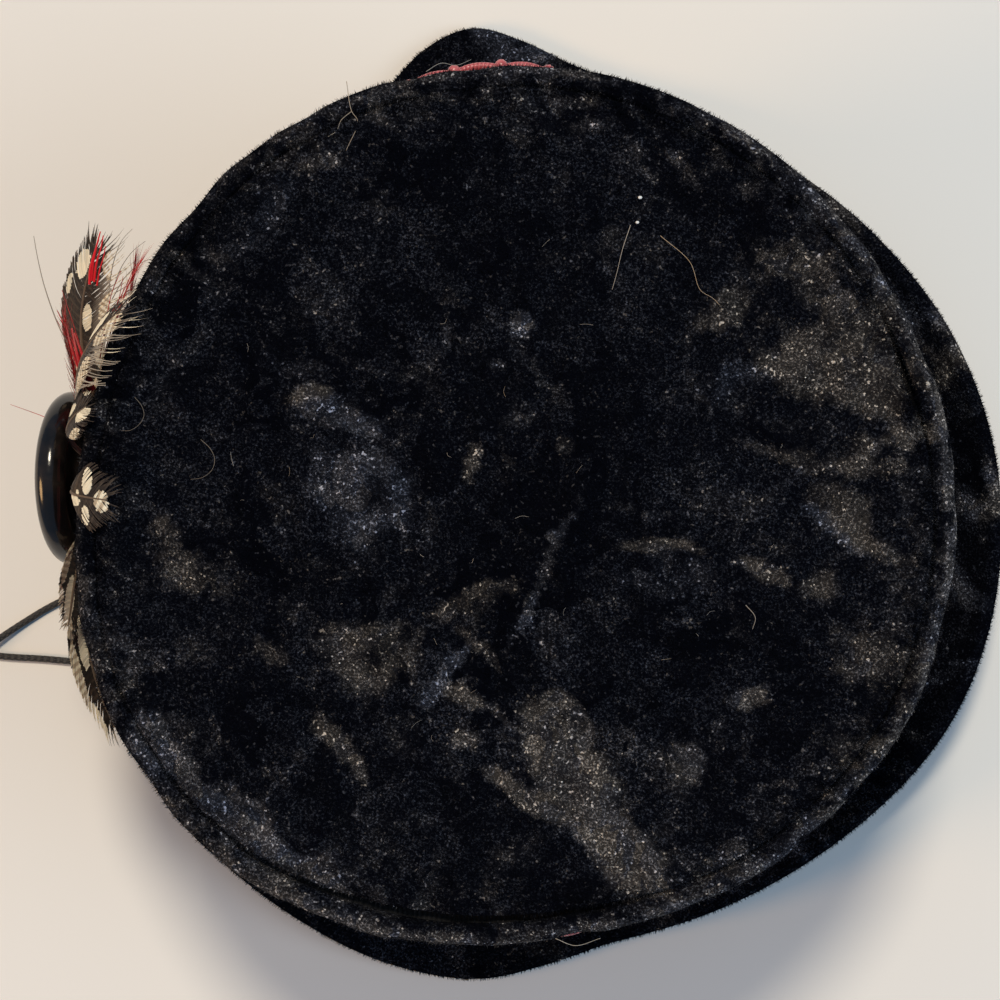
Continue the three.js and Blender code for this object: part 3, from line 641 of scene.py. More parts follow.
def makeTip():
    # one profile, turned round: from the top's middle over the rounded edge to the underside's middle;
    # z = ledge + lift + dome and dents + wrinkles + gathers towards the seam
    sectors = crown["tipSectors"]
    degrees = fullCircle(sectors)
    drawn = drawnIn(degrees)
    edge = rimRadius(degrees) - 2 * crown["roll"] - crown["gap"] - drawn * crown["roll"]
    edge = edge + 0.36 * (1 - ease(drawn, 0, 0.3))
    outer = 1 - 0.1 * (1 - np.linspace(0.1, 1, crown["edgeRows"])) ** 1.3
    top = np.concatenate([[0.004], np.linspace(0.02, 0.9, crown["topRows"]), outer])[:, None]
    bend = np.radians(np.linspace(80, -80, 9))[:, None]
    under = np.array([0.985, 0.9, 0.7, 0.45, 0.2, 0.004])[:, None]
    half = crown["panel"] / 2
    corner = half * np.where(bend > 0, np.abs(np.cos(bend)) ** 0.3, np.cos(bend))
    radius = np.concatenate([top * (edge - half), edge - half + corner, under * (edge - half)])
    lift = np.concatenate([np.full_like(top, 2 * half) + 0 * edge, half + half * np.sin(bend) + 0 * edge,
                           np.zeros_like(under) + 0 * edge])
    x, y = radius * np.cos(np.radians(degrees)), radius * np.sin(np.radians(degrees))
    place = np.stack([x, y], -1)
    wrinkle = 0.16 * waves(place, 7, 41) + 0.10 * waves(place, 3.4, 42)
    folds = np.cos(np.radians(degrees) * 71 + 3 * waves(place, 22, 43))
    gather = 0.22 * folds * ease(radius / edge, 0.86, 0.97)
    onTop = ease(lift, half, 2 * half)
    z = ledgeZ + crown["gap"] + lift + tipRelief(x / crown["tip"], y / crown["tip"])
    z = z + onTop * (wrinkle + gather)
    z = z + onTop * 0.75 * (1 - ease(drawn, 0.05, 0.5)) * ease(radius / edge, 0.8, 0.97)
    z = np.maximum(z, ledgeZ + crown["gap"])
    grid = np.stack([x, y, z], -1)
    crush, warmth = chartedCrush(grid)
    normals = gridNormals(grid)
    quads = gridQuads(len(grid), sectors)
    points = np.vstack([grid.reshape(-1, 3), [[0, 0, grid[0, 0, 2]], [0, 0, grid[-1, 0, 2]]]])
    faces = triangles(quads, endFans(len(grid), sectors, len(points) - 2, len(points) - 1))
    piece = makeMesh("velvetTip", points, faces, velvet, values={
        "crush": np.append(crush.ravel(), [0, 0]), "warmth": np.append(warmth.ravel(), [0.5, 0.5])})
    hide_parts("crown_tip")
    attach(piece, "root")
    upper = slice(1, len(top) + 5)
    nearEdge = ease((radius / edge)[upper], 0.95, 0.985) * (1 - ease(drawn, 0.2, 0.7))
    tufts("velvetTipPile", grid[upper], normals[upper], crush[upper], warmth[upper], pile["tip"], 51,
          weight=1 + 4.5 * nearEdge, length=0.85)
    stage("crown's top")


def makeSide():
    # a closed section, turned round: up the outside, over the roll, in along the sewn edge, down inside
    sectors, wallRows, rollRows = crown["sideSectors"], crown["wallRows"], crown["rollRows"]
    degrees = fullCircle(sectors)
    rim = rimRadius(degrees)
    roll = crown["roll"]

    def wall(shares, inset):
        z = footZ + shares[:, None] * crown["height"] + 0 * rim
        return sideRadius(degrees, z) - inset, z

    outside = wall(np.linspace(0, 0.955, wallRows), 0)
    turn = np.radians(np.linspace(-35, 175, rollRows))[:, None]
    swell = 1 + 0.05 * np.cos(np.radians(degrees) * 43) + 0.06 * np.cos(np.radians(degrees) * 17 + 1)
    inwards = np.where(turn > math.pi / 2, -np.abs(np.cos(turn)) ** 0.35, np.cos(turn))
    rolled = (rim - roll + roll * inwards, rimZ - roll + roll * np.sin(turn) * np.minimum(swell, 1.06))
    inner = rim - 2 * roll - crown["seam"]
    upper, low = ledgeZ + 0 * rim, ledgeZ - crown["seamThick"] + 0 * rim
    ledge = (np.concatenate([rim - 2 * roll, inner, inner, sideRadius(degrees, low) - crown["wall"]]),
             np.concatenate([upper, upper, low, low]))
    inside = wall(np.linspace(0.93, 0, 16), crown["wall"])
    radius, z = (np.concatenate([part[k] for part in (outside, rolled, ledge, inside)]) for k in (0, 1))
    grid = polar(degrees, radius, z)
    outer = wallRows + rollRows
    soft = waves(grid[:outer], 11, 61) * 0.25 * ease(grid[:outer, :, 2], footZ + 1, footZ + 8)
    grid[:outer, :, :2] += unit(grid[:outer, :, :2]) * np.minimum(soft, 0.12)[..., None]
    crush, warmth = wildCrush(grid, 0.6, 71)
    charted, chartedWarmth = chartedCrush(grid)
    # near the rim the side takes the top's charted painted sheen
    onRim = ease(grid[..., 2], rimZ - 7, rimZ - 2)
    crush = crush * (1 - onRim) + charted * onRim
    # painted grey sheen along the rolled edge of the crown
    wearAndSheen = np.clip(around(crown["wearAndSheen"], degrees)[..., 0], 0, 1)
    wearAndSheen = wearAndSheen * ease(grid[..., 2], rimZ - 2.6, rimZ - 0.8) * ease(radius, rim - 2.3, rim - 1.1)
    crush = np.maximum(crush, wearAndSheen * (0.85 + 0.4 * waves(grid, 2.6, 77)))
    warmth = warmth * (1 - onRim) + chartedWarmth * onRim
    quads = gridQuads(len(grid), sectors, closed=True)
    inward = np.repeat(np.arange(len(grid)) >= outer, sectors).astype(int)
    piece = makeMesh("velvetSide", grid.reshape(-1, 3), quads[:, ::-1], [velvet, backing],
                     faceMaterial=inward, values={"crush": crush.ravel(), "warmth": warmth.ravel()})
    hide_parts("crown_side")
    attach(piece, "root")
    normals = -gridNormals(grid, closed=True)
    weight = 1 + 2.4 * ease(grid[:outer, :, 2], rimZ - 8, rimZ - 4)
    rollTop = wallRows + rollRows // 2 + 1
    weight[rollTop:] *= 1 + 1.8 * (1 - ease(drawnIn(degrees), 0.1, 0.4))
    tufts("velvetSidePile", grid[:outer], normals[:outer], crush[:outer], warmth[:outer], pile["side"], 81,
          weight=weight, length=0.72)
    stage("crown's side")


def brimUnder(degrees, share):
    # radius and height of the underside at a share of the brim's width: a power curve where its side curls
    # up, an ease down to the table where it dips
    table = around(brim["outline"], degrees)
    lift = table[..., 1]
    curled = share ** 1.8
    dipped = ease(share, 0, 0.62)
    rise = dipped + (curled - dipped) * np.clip(2.5 * lift, 0, 1)
    inner = crown["foot"] + brim["margin"]
    radius = inner + (brim["reach"] * table[..., 0] - inner) * share
    return radius, np.maximum(0, brim["dip"] + (np.maximum(0, lift) * brim["curl"] - brim["dip"]) * rise)


def makeBrim():
    # the underside's curve, a round edge and the same curve a cloth's thickness above it, closed at the foot
    sectors = brim["sectors"]
    degrees = fullCircle(sectors)
    shares = np.linspace(0, 0.955, brim["rows"])[:, None]
    r, z = brimUnder(degrees, shares)
    r2, z2 = brimUnder(degrees, shares + 0.01)
    r1, z1 = brimUnder(degrees, np.maximum(shares - 0.01, 0))
    length = np.hypot(r2 - r1, z2 - z1)
    nr, nz = -(z2 - z1) / length, (r2 - r1) / length
    nr[0], nz[0] = 0, 1
    thick = brim["thick"]
    top = (r + nr * thick, z + nz * thick)
    turn = np.radians(np.linspace(-70, 70, 9))[:, None]
    edgeR, edgeZ = brimUnder(degrees, np.ones((1, 1)))
    run = np.hypot(edgeR[0] - r[-1], edgeZ[0] - z[-1]) - thick / 2
    out, up = run + thick / 2 * np.cos(turn), thick / 2 * np.sin(turn)
    edge = (r[-1] + nr[-1] * thick / 2 + nz[-1] * out + nr[-1] * up,
            z[-1] + nz[-1] * thick / 2 - nr[-1] * out + nz[-1] * up)

    def level(radius, height):
        return np.full((1, sectors), float(radius)), np.full((1, sectors), float(height))

    hole, low, high = crown["foot"] - crown["wall"], brim["dip"], brim["dip"] + thick
    above = (top[0][::-1], top[1][::-1])
    rings = [level(hole, low), level(hole + 2, low), (r, z), edge, above,
             level(hole + 2, high), level(hole, high)]
    radius, height = (np.concatenate([part[k] for part in rings]) for k in (0, 1))
    grid = polar(degrees, radius, np.maximum(0, height))
    crush, warmth = wildCrush(grid, 0.95, 91)
    # the brim's painted sheen is held down towards -Y
    crush = crush * (1 - 0.75 * ease(-grid[..., 1], 42, 66))
    quads = gridQuads(len(grid), sectors, closed=True)
    piece = makeMesh("velvetBrim", grid.reshape(-1, 3), quads[:, ::-1], velvet,
                     values={"crush": crush.ravel(), "warmth": warmth.ravel()})
    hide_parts("brim")
    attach(piece, "root")
    normals = -gridNormals(grid, closed=True)
    below, upper = slice(2, 2 + len(shares)), slice(len(shares), len(grid) - 2)
    outline = brim["reach"] * around(brim["outline"], degrees)[..., 0]
    tufts("velvetBrimPile", grid[upper], normals[upper], crush[upper], warmth[upper], pile["brim"], 95,
          weight=1 + 1.2 * ease(radius[upper] / outline, 0.9, 0.99), length=0.68)
    tufts("velvetUnderPile", grid[below], normals[below], crush[below], warmth[below], pile["under"], 97,
          weight=0.02 + ease(grid[below, :, 2], 1.5, 3.0), length=0.8)
    stage("brim")


makeTip()
makeSide()
makeBrim()

# The button stands off the crown's left side, and its shank holds the plumes.
button = {
    "radius": 13.9, "rim": 2.4, "shank": 1.6, "side": 5.4, "drop": 23, "standOff": 10.8, "tilt": 4,
    "sectors": 112, "rimPoints": 44,
    "black": (0.006, 0.005, 0.005, 1), "wearAndSheen": (0.022, 0.016, 0.013, 1), "roughness": 0.11,
}
buttonZ = rimZ - button["drop"]


def wallOut(z):
    # from the hat's middle plane to the crown's side beside the button: the root of radius^2 - side^2
    angle = np.array(180 - math.degrees(math.asin(button["side"] / crown["foot"])))
    return np.sqrt(sideRadius(angle, np.asarray(z, dtype=float)) ** 2 - button["side"] ** 2)


def hornMaterial():
    n = Nodes("button")
    cloud = n.noise(160, 4, 0.6)
    scratch = n.noise(900, 2, 0.6, n.drawnOut("POINT", (1, 1, 0.12)))
    smooth = button["roughness"]
    n.set(Base_Color=n.mix(n.span(cloud, 0.45, 0.75), button["black"], button["wearAndSheen"]),
          Roughness=n.span(scratch, 0.3, 0.8, smooth, smooth + 0.12),
          Coat_Weight=0.15, Coat_Roughness=0.05, Specular_IOR_Level=0.36)
    n.bump(cloud, 0.0002, 0.3)
    return n.material


def makeButton():
    # a profile of radius and outward distance, turned round the button's own axis
    tilt = math.radians(button["tilt"])
    rim = button["rim"]
    shankTop = buttonZ + button["standOff"] * math.tan(tilt) + button["shank"]
    room = wallOut(buttonZ) + button["standOff"] - wallOut(shankTop) - crown["gap"]
    shank = float(room / math.cos(tilt) - button["shank"] * math.tan(tilt))
    turn = np.radians(np.linspace(142, -142, button["rimPoints"]))
    middle = button["radius"] - rim
    ringPart = np.stack([middle + rim * np.cos(turn), rim * np.sin(turn)], 1)
    front = [(0.01, 0.2), (0.18, 0.2), (0.36, 0.21), (0.5, 0.25), (0.6, 0.34)]
    back = [(0.66, -0.56), (0.5, -0.55), (0.36, -0.6), (0.33, -0.9), (0.28, -1.2), (0.17, -1.42)]
    front, back = np.array(front) * (middle, rim), np.array(back) * (middle, rim)
    stem = np.array([(button["shank"], -rim * 1.6), (button["shank"], -shank), (0.01, -shank)])
    profile = np.vstack([front, ringPart, back, stem])
    sectors = button["sectors"]
    angle = 2 * math.pi * np.arange(sectors) / sectors
    outward = np.array([-math.cos(tilt), 0, -math.sin(tilt)])
    up = np.array([-math.sin(tilt), 0, math.cos(tilt)])
    centre = np.array([-(float(wallOut(buttonZ)) + button["standOff"]), button["side"], buttonZ])
    spoke = np.array([0, 1, 0]) * np.cos(angle)[:, None] + up * np.sin(angle)[:, None]
    grid = centre + profile[:, None, :1] * spoke[None] + profile[:, None, 1:] * outward
    quads = gridQuads(len(profile), sectors)
    points = np.vstack([grid.reshape(-1, 3), centre + outward * front[0, 1], centre - outward * shank])
    faces = triangles(quads, endFans(len(profile), sectors, len(points) - 2, len(points) - 1))
    piece = makeMesh("glossyButton", points, faces[:, ::-1], hornMaterial())
    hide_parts("button")
    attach(piece, "root")
    stage("button")


# Each plume is a shaft with barbs on both sides, from a circle round the shank.
plumes = {
    "combed": ("spotted_plume_1", "spotted_plume_2"), "slim": ("spotted_plume_3", "spotted_plume_4"),
    "ring": 5, "quill": 1, "bare": 0.2, "thick": 0.08, "stations": 8, "slimness": 0.85,
    "shaftPoints": 26, "shaftSides": 8, "shaftEnd": 0.92,
    "barbs": (0.24, 0.34, 0.04), "redBarbs": (0.42, 0.2, 0.7),    # spacing, width of a strand, looseness
    # fan in the side's plane (0 to the front, 90 up), length, layer, bow, over, curl, width and roll;
    # fan and roll are in degrees
    "spotted_plume_1": (20, 36, 2.4, 4.8, 0, 0, 8.6, 62),
    "spotted_plume_2": (45, 33, 4.4, 2, 11, 0.5, 11, 0),
    "spotted_plume_3": (68, 25, 4.6, 1.8, 5, 0.7, 8, 0),
    "spotted_plume_4": (98, 22, 2.2, 3.6, 6.4, 0.9, 11, 0),
    "spotted_plume_5": (152, 23, 5.3, 2.3, -3, 0, 9, 18),
    "spotted_plume_6": (170, 38, 3.1, 4.6, 2.4, 0, 10, 30),
    "red_hackle_1": (33, 27, 6.8, 0.6, -1, 0, 3.6, 0),
    "red_hackle_2": (8, 33, 0.3, 1, 1.5, 0, 3.6, 0),
    "red_hackle_3": (31, 36, 0.9, 1.4, 8, 0, 3.6, 0),
    "red_hackle_4": (180, 36, 1.1, 1, 1.5, 0, 3.6, 0),
    "brown": (0.046, 0.030, 0.021, 1), "dark": (0.013, 0.010, 0.009, 1), "pale": (0.12, 0.09, 0.065, 1),
    "cream": (0.78, 0.71, 0.55, 1), "tan": (0.46, 0.37, 0.26, 1), "shaft": (0.16, 0.11, 0.075, 1),
    "comb": (0.40, 0.35, 0.29, 1),
    "red": (0.55, 0.007, 0.014, 1), "deepRed": (0.26, 0.004, 0.007, 1), "pink": (0.75, 0.22, 0.19, 1),
}
# pale spots: mm from the plume's root and from its shaft, half length, half width, 1 if it is barred
spots = {
    "spotted_plume_1": [
        (22, 1.1, 2.3, 0.9, 0), (29.8, -1.6, 2.3, 1.3, 0), (23.9, 5.4, 3.9, 2.3, 1),
        (31.8, 4.4, 2.6, 2.6, 1), (14.5, -1.9, 2.2, 0.9, 0), (15.2, 3.2, 2.4, 1.1, 1),
        (10.2, 1.2, 1.6, 0.7, 0), (26, -3.6, 1.6, 0.6, 0),
    ],
    "spotted_plume_2": [
        (32.7, -0.4, 1.4, 1.1, 0), (31.6, 5, 1.3, 1.4, 0), (27.6, 1.7, 3, 1.9, 1),
        (28.6, 6.6, 1.2, 1.2, 0), (25, -2.9, 2.6, 1.6, 0), (21, 3.9, 3, 2, 1), (18.5, -1.6, 2.2, 0.9, 0),
        (14, 2.4, 2, 0.8, 0), (31, -3.4, 1.3, 1, 0), (12.5, -2.6, 1.7, 0.8, 0), (20.5, -4.4, 1.8, 0.7, 0),
    ],
    "spotted_plume_3": [
        (21.8, 0.9, 2, 0.95, 0), (17.6, -1.9, 2, 0.9, 0), (18.4, 2.9, 2.1, 0.9, 1), (12, 1.4, 1.8, 0.8, 0),
        (23.4, -2.8, 1.2, 0.8, 1), (9.5, -1.7, 1.4, 0.6, 0),
    ],
    "spotted_plume_4": [
        (16.9, -2.4, 0.95, 2, 0), (19.4, 0.4, 1.1, 1.7, 1), (16.6, 2.9, 0.8, 1.5, 0),
        (14.9, -0.4, 0.4, 0.5, 0), (13.5, 0.9, 2, 0.9, 0), (12, -3.1, 1.7, 0.8, 1), (14, 4.3, 1.8, 0.8, 0),
        (9, -1.2, 1.4, 0.6, 0),
    ],
    "spotted_plume_5": [
        (11.5, -3.9, 4.2, 1.5, 1), (17, -0.6, 4, 1.4, 0), (21.5, -0.4, 2.4, 1.7, 1), (15, 2.7, 2.2, 1, 0),
        (18.6, -3.9, 2.6, 1.5, 0), (19.6, 3.4, 2.4, 1.3, 0), (8.5, 1.1, 1.8, 0.8, 0),
    ],
    "spotted_plume_6": [
        (27.6, -4.3, 6, 1.5, 1), (34, -3.4, 3.4, 1.7, 0), (22, -1.3, 4, 1.2, 0), (30, 0.9, 4, 1.1, 1),
        (19.4, -4.6, 2, 1.4, 0), (36.6, 0.4, 1.6, 1.4, 0), (28.6, 4.4, 2.6, 1.4, 1),
        (19.6, 4.4, 1.8, 1.2, 0), (16, 2, 2.4, 1, 0), (24.5, 3.5, 2.4, 1, 0), (12.5, -1.9, 2, 0.8, 0),
        (33, 3.9, 1.8, 0.9, 0),
    ],
}
# bare strands that stray from a plume: radius, how red, and points in mm
strays = {
    "spotted_plume_1": [
        (0.13, 0, [(-66.6, 20.6, 60), (-69.1, 25, 61.5), (-71, 28.4, 62), (-73.4, 34.7, 62),
                   (-74.9, 39.7, 61), (-75.8, 43.3, 60)]),
        (0.08, 0, [(-62.5, 33, 63.5), (-59.8, 36.4, 65.6), (-57, 38.4, 66.8), (-54.6, 39.1, 67)]),
        (0.08, 0, [(-62.5, 34, 63.6), (-60.5, 37.7, 65.8), (-58.4, 40.1, 67), (-56.4, 41.6, 67.2)]),
        (0.08, 0, [(-63, 35, 63.4), (-61.8, 38.9, 65), (-60.4, 41.8, 66), (-58.6, 43.6, 66.4)]),
        (0.07, 0, [(-62.5, 32, 63.5), (-59, 34.4, 65.8), (-56, 35.6, 67), (-53.2, 35.7, 67.2)]),
        (0.24, 1, [(-65.2, 35.8, 65.6), (-64.7, 38.8, 66.4), (-64.1, 41, 66.8), (-63.5, 43.2, 66.8)]),
        (0.24, 1, [(-65.5, 35.2, 65.6), (-65.2, 37.6, 66.3), (-64.6, 39.6, 66.6), (-63.8, 42, 66.6)]),
        (0.22, 1, [(-64.8, 35.6, 65.6), (-64.2, 38.4, 66.4), (-63.5, 40.6, 66.6), (-63.1, 42.6, 66.6)]),
        (0.16, 1, [(-64.4, 35, 65.4), (-63.8, 37.4, 66), (-63.2, 39.2, 66.2), (-62.9, 41, 66)]),
    ],
    "red_hackle_1": [
        (0.4, 1, [(-65.8, 18.8, 63.5), (-66.6, 21.6, 65.5), (-67.3, 24.6, 66.4), (-68.2, 28.4, 66)]),
        (0.36, 1, [(-65.4, 19, 64), (-65.8, 22, 66), (-66.6, 25, 66.8), (-67.6, 27.6, 66.8)]),
        (0.3, 1, [(-66.2, 19, 63), (-67.4, 22.4, 65), (-68.4, 25.8, 65.8), (-69.6, 30, 65)]),
        (0.12, 1, [(-67.6, 24, 62.6), (-69.6, 28, 63), (-71.4, 31.4, 62.6)]),
        (0.09, 1, [(-67.1, 19.9, 58), (-69.2, 28.6, 60), (-71.3, 34.8, 60)]),
        (0.09, 1, [(-66.4, 19, 57), (-69.9, 26.2, 60), (-72.4, 31, 61)]),
        (0.08, 1, [(-71.7, 13.4, 52), (-76.9, 15.5, 52.6), (-81.8, 17.2, 52)]),
    ],
    "red_hackle_3": [
        (0.1, 1, [(-64.5, 24, 63), (-63, 29, 65.5), (-61.6, 33.6, 67.4), (-60, 37, 68)]),
        (0.1, 1, [(-63.6, 24.5, 64), (-61.5, 29, 67), (-60, 33, 69), (-59.2, 36, 70)]),
        (0.1, 1, [(-61.6, 30, 68.5), (-58.6, 34, 71.5), (-56.6, 37.5, 73)]),
    ],
    "red_hackle_4": [
        (0.09, 1, [(-62, 8, 55), (-66, 7.4, 57), (-69.5, 5.2, 56)]),
        (0.09, 1, [(-62, 1, 52), (-66, -2.4, 53), (-69.6, -5.2, 52)]),
        (0.09, 1, [(-62, -4, 51), (-66.5, -7.2, 51), (-70.2, -8, 50)]),
    ],
}


def plumeFrame(plume, share):
    # the shaft's place at a share of its length, and its directions along, across the vane and out of it.
    # out = wall + layer + bow sin(pi s) - over s^3; rise = s (1 + curl) - curl s^2
    fan, length, layer, bow, over, curl, _, roll = plume
    fan, roll = math.radians(fan), math.radians(roll)
    rootZ = buttonZ + plumes["ring"] * math.sin(fan)

    def place(s):
        out = wallOut(rootZ) + layer + bow * np.sin(math.pi * s) - over * s ** 3
        rise = s * (1 + curl) - curl * s * s
        return np.stack([-out, button["side"] + (plumes["ring"] + length * s) * math.cos(fan),
                         rootZ + length * rise * math.sin(fan)], -1)

    along = unit(place(share + 0.01) - place(share - 0.01))
    flat = np.array([0, -math.sin(fan), math.cos(fan)])
    across = unit(flat - along * (along @ flat)[..., None])
    across = across * math.cos(roll) + np.cross(along, across) * math.sin(roll)
    return place(share), along, across, np.cross(across, along)


def halfWidth(width, share):
    # the vane's outline: quill / 2 + width / 2 sin(pi v^1.25)^0.7, with v the share past the bare quill
    v = np.clip((share - plumes["bare"]) / (1 - plumes["bare"]), 0, 0.995)
    return 0.5 * plumes["quill"] + width / 2 * np.sin(math.pi * v ** 1.25) ** 0.7


def barbs(plume, seed, spacing, strand, loose, comb, slim):
    # every barb runs from the shaft at share r to the vane's edge at share e, a(u) = r + (e - r) u^1.3 and
    # c(u) = +-half width(e) (1 - (1 - u)^1.2), as a three-sided strip. Barbs draw together in clumps, so the
    # vane splits.
    rng = np.random.default_rng(seed)
    length, width = plume[1], plume[6]
    bare, stations = plumes["bare"] * 0.75, plumes["stations"]
    perSide = int(length * (1.01 - bare) / spacing)
    count = 2 * perSide
    root = np.tile(np.linspace(bare, 0.9, perSide), 2) + rng.normal(0, 0.0015, count)
    side = np.repeat([1.0, -1.0], perSide)
    end = root + 0.075 + 0.2 * (1.02 - root)
    cuts = np.sort(np.concatenate([[0, 1.3], rng.uniform(0.15, 1, int(length / 3.6))]))
    clump = np.searchsorted(cuts, root + 0.02 * side)
    centre = (cuts[np.clip(clump, 1, None) - 1] + cuts[np.clip(clump, 1, len(cuts) - 1)]) / 2
    end = end + (0.10 + 0.5 * loose) * np.clip(centre - root, -0.06, 0.06)
    end = end + rng.normal(0, 0.004 + 0.02 * loose, count)
    frayed = ease(root, 0.62, 0.9)
    tipward = ease(root, 0.76, 0.9) * rng.random(count)
    reach = halfWidth(width, np.minimum(end, 0.9)) * (1 - 0.95 * tipward)
    reach = reach * (1 + (0.04 + 0.35 * loose + 0.12 * frayed) * rng.uniform(-1, 1, count))
    u = np.linspace(0, 1, stations)[None, :]
    combed = comb * (side > 0) * (np.arange(count) % 3 == 0) * ease(root, 0.4, 0.6)
    end = end + 0.05 * combed
    reach = reach * (1 + 0.8 * combed) * (1 - slim * (1 - ease(root, 0.42, 0.66)))
    a = root[:, None] + (end - root)[:, None] * u ** 1.3
    c = (side * reach)[:, None] * (1 - (1 - u) ** 1.2)
    place, _, across, face = plumeFrame(plume, a)
    lifted = rng.normal(0, 0.06 + 0.5 * loose, count)[:, None] * u ** 1.5 - 0.035 * c * c / max(1, width / 8)
    line = place + across * c[..., None] + face * lifted[..., None]
    run = unit(np.gradient(line, axis=1))
    beside = unit(np.cross(face, run))
    over = np.cross(run, beside)
    thinned = 0.5 * strand * (1 - 0.35 * combed[:, None, None])
    tapered = (1.02 - (0.6 + 0.3 * frayed[:, None]) * u ** 1.8)[..., None]
    half = thinned * tapered * rng.uniform(0.8, 1.15, (count, 1, 1))
    ridge = line + over * plumes["thick"] * (1.1 - u)[..., None]
    ring = np.stack([line - beside * half, line + beside * half, ridge], 2)
    base = (np.arange(count * stations) * 3).reshape(count, stations)
    low, high = base[:, :-1].ravel(), base[:, 1:].ravel()
    faces = []
    for i, j in ((0, 1), (1, 2), (2, 0)):
        faces += [np.stack([low + i, low + j, high + j], 1), np.stack([low + i, high + j, high + i], 1)]
    faces += [base[:, :1] + (0, 2, 1), base[:, -1:] + (0, 1, 2)]
    jitter = np.repeat(rng.random(count), stations * 3)
    vane = np.stack([np.repeat((a * length).ravel(), 3), np.repeat(c.ravel(), 3), jitter], 1)
    return ring.reshape(-1, 3), np.vstack(faces), vane


def strandMesh(line, radius, sides=6, taper=0.6):
    # a thin closed tube along a smooth line, thinner towards its end
    line, _ = evenly(smoothPath(line, 8), 8 * len(line))
    return tube(line, radius * np.linspace(1, 1 - taper, len(line)), sides)


def joined(parts):
    # one list of points, faces and values from several, with the faces' numbers moved on
    starts = np.cumsum([0] + [len(p[0]) for p in parts[:-1]])
    faces = np.vstack([p[1] + s for p, s in zip(parts, starts)])
    return np.vstack([p[0] for p in parts]), faces, np.vstack([p[2] for p in parts])


def plumeMaterial(name):
    # spots are ellipses in the vane's own mm: the least of their lengths ((a - a0) / ra, (c - c0) / rc)
    n = Nodes(name)
    vane = n.read("vane", "Vector")
    along, across, jitter = n.parts("vane")
    nearest = {0: 9.0, 1: 9.0}
    for a, c, ra, rc, barred in spots[name]:
        size = n.add("ShaderNodeVectorMath", operation="LENGTH")
        n.put(size, 0, n.scaled(vane, (1 / ra, 1 / rc, 0), (-a / ra, -c / rc, 0)))
        nearest[barred] = n.sum("MINIMUM", nearest[barred], size.outputs["Value"])
    bars = n.sum("SINE", n.sum("ADD", n.sum("MULTIPLY", along, 5.6), n.sum("MULTIPLY", across, 2.4)))
    speckle = n.noise(1500, 3, 0.7)
    ground = n.mix(n.span(speckle, 0.35, 0.7), plumes["dark"], plumes["brown"])
    ground = n.mix(n.sum("MULTIPLY", n.span(bars, 0.2, 0.9), 0.3), ground, plumes["pale"])
    if name in plumes["combed"]:
        ground = n.mix(n.span(across, 1.8, 3.8, 0.0, 0.9), ground, plumes["comb"])
    least = n.sum("MINIMUM", nearest[0], nearest[1])
    ring = n.sum("MULTIPLY", n.span(least, 1.6, 1.05, 0.0, 0.75), n.span(across, 1.8, 3.2, 1.0, 0.25))
    ground = n.mix(ring, ground, plumes["dark"])
    barred = n.mix(n.span(bars, -0.3, 0.3), plumes["tan"], plumes["cream"])
    frayed = n.sum("MULTIPLY_ADD", jitter, 0.12, 0.94)
    colour = n.mix(n.sum("LESS_THAN", nearest[1], frayed), ground, barred)
    colour = n.mix(n.sum("LESS_THAN", nearest[0], frayed), colour, plumes["cream"])
    colour = n.mix(n.sum("LESS_THAN", jitter, -0.5), colour, plumes["shaft"])
    colour = n.mix(n.sum("GREATER_THAN", jitter, 1.5), colour, plumes["red"])
    shade = n.span(jitter, 0, 1, 0.72, 1.12)
    gray = n.add("ShaderNodeCombineColor")
    for k in range(3):
        n.put(gray, k, shade)
    n.set(Base_Color=n.mix(1.0, colour, gray.outputs[0], "MULTIPLY"), Roughness=0.6,
          Specular_IOR_Level=0.25, Sheen_Weight=0.05)
    return n.material


def hackleMaterial():
    n = Nodes("red hackle")
    dyed = n.mix(n.span(n.noise(500, 3, 0.6), 0.35, 0.7), plumes["deepRed"], plumes["red"])
    colour = n.mix(n.span(n.parts("vane")[2], 0.6, 1.0, 0.0, 0.55), dyed, plumes["pink"])
    n.set(Base_Color=colour, Roughness=0.5, Specular_IOR_Level=0.4)
    return n.material


def makePlumes():
    dyed = hackleMaterial()
    named = [key for key in plumes if key.startswith(("spotted_", "red_"))]
    for seed, name in enumerate(named):
        plume = plumes[name]
        red = name.startswith("red_")
        shares, sides = np.linspace(0, plumes["shaftEnd"], plumes["shaftPoints"]), plumes["shaftSides"]
        place, _, _, _ = plumeFrame(plume, shares)
        thickness = np.interp(shares, [0, 0.2, 1], [0.5, 0.42, 0.09]) * plumes["quill"] * (0.6 if red else 1)
        points, faces = tube(place, thickness, sides)
        alongShaft = np.repeat(shares * plume[1], sides)
        shaft = (points, faces, np.stack([alongShaft, alongShaft * 0, alongShaft * 0 - 1], 1))
        kind = plumes["redBarbs" if red else "barbs"]
        parts = [shaft, barbs(plume, 200 + seed, *kind, comb=float(name in plumes["combed"]),
                              slim=plumes["slimness"] * (name in plumes["slim"]))]
        for radius, isRed, line in strays.get(name, []):
            points, faces = strandMesh(np.array(line, dtype=float), radius)
            shade = (0.4 if red else 2.0) * isRed
            parts.append((points, faces, np.tile((0.0, 9.0, shade), (len(points), 1))))
        points, faces, vane = joined(parts)
        piece = makeMesh(name.title().replace("_", ""), points, faces, dyed if red else plumeMaterial(name),
                         smooth=False, values={"vane": vane})
        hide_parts(name)
        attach(piece, "root")
    stage("plumes")


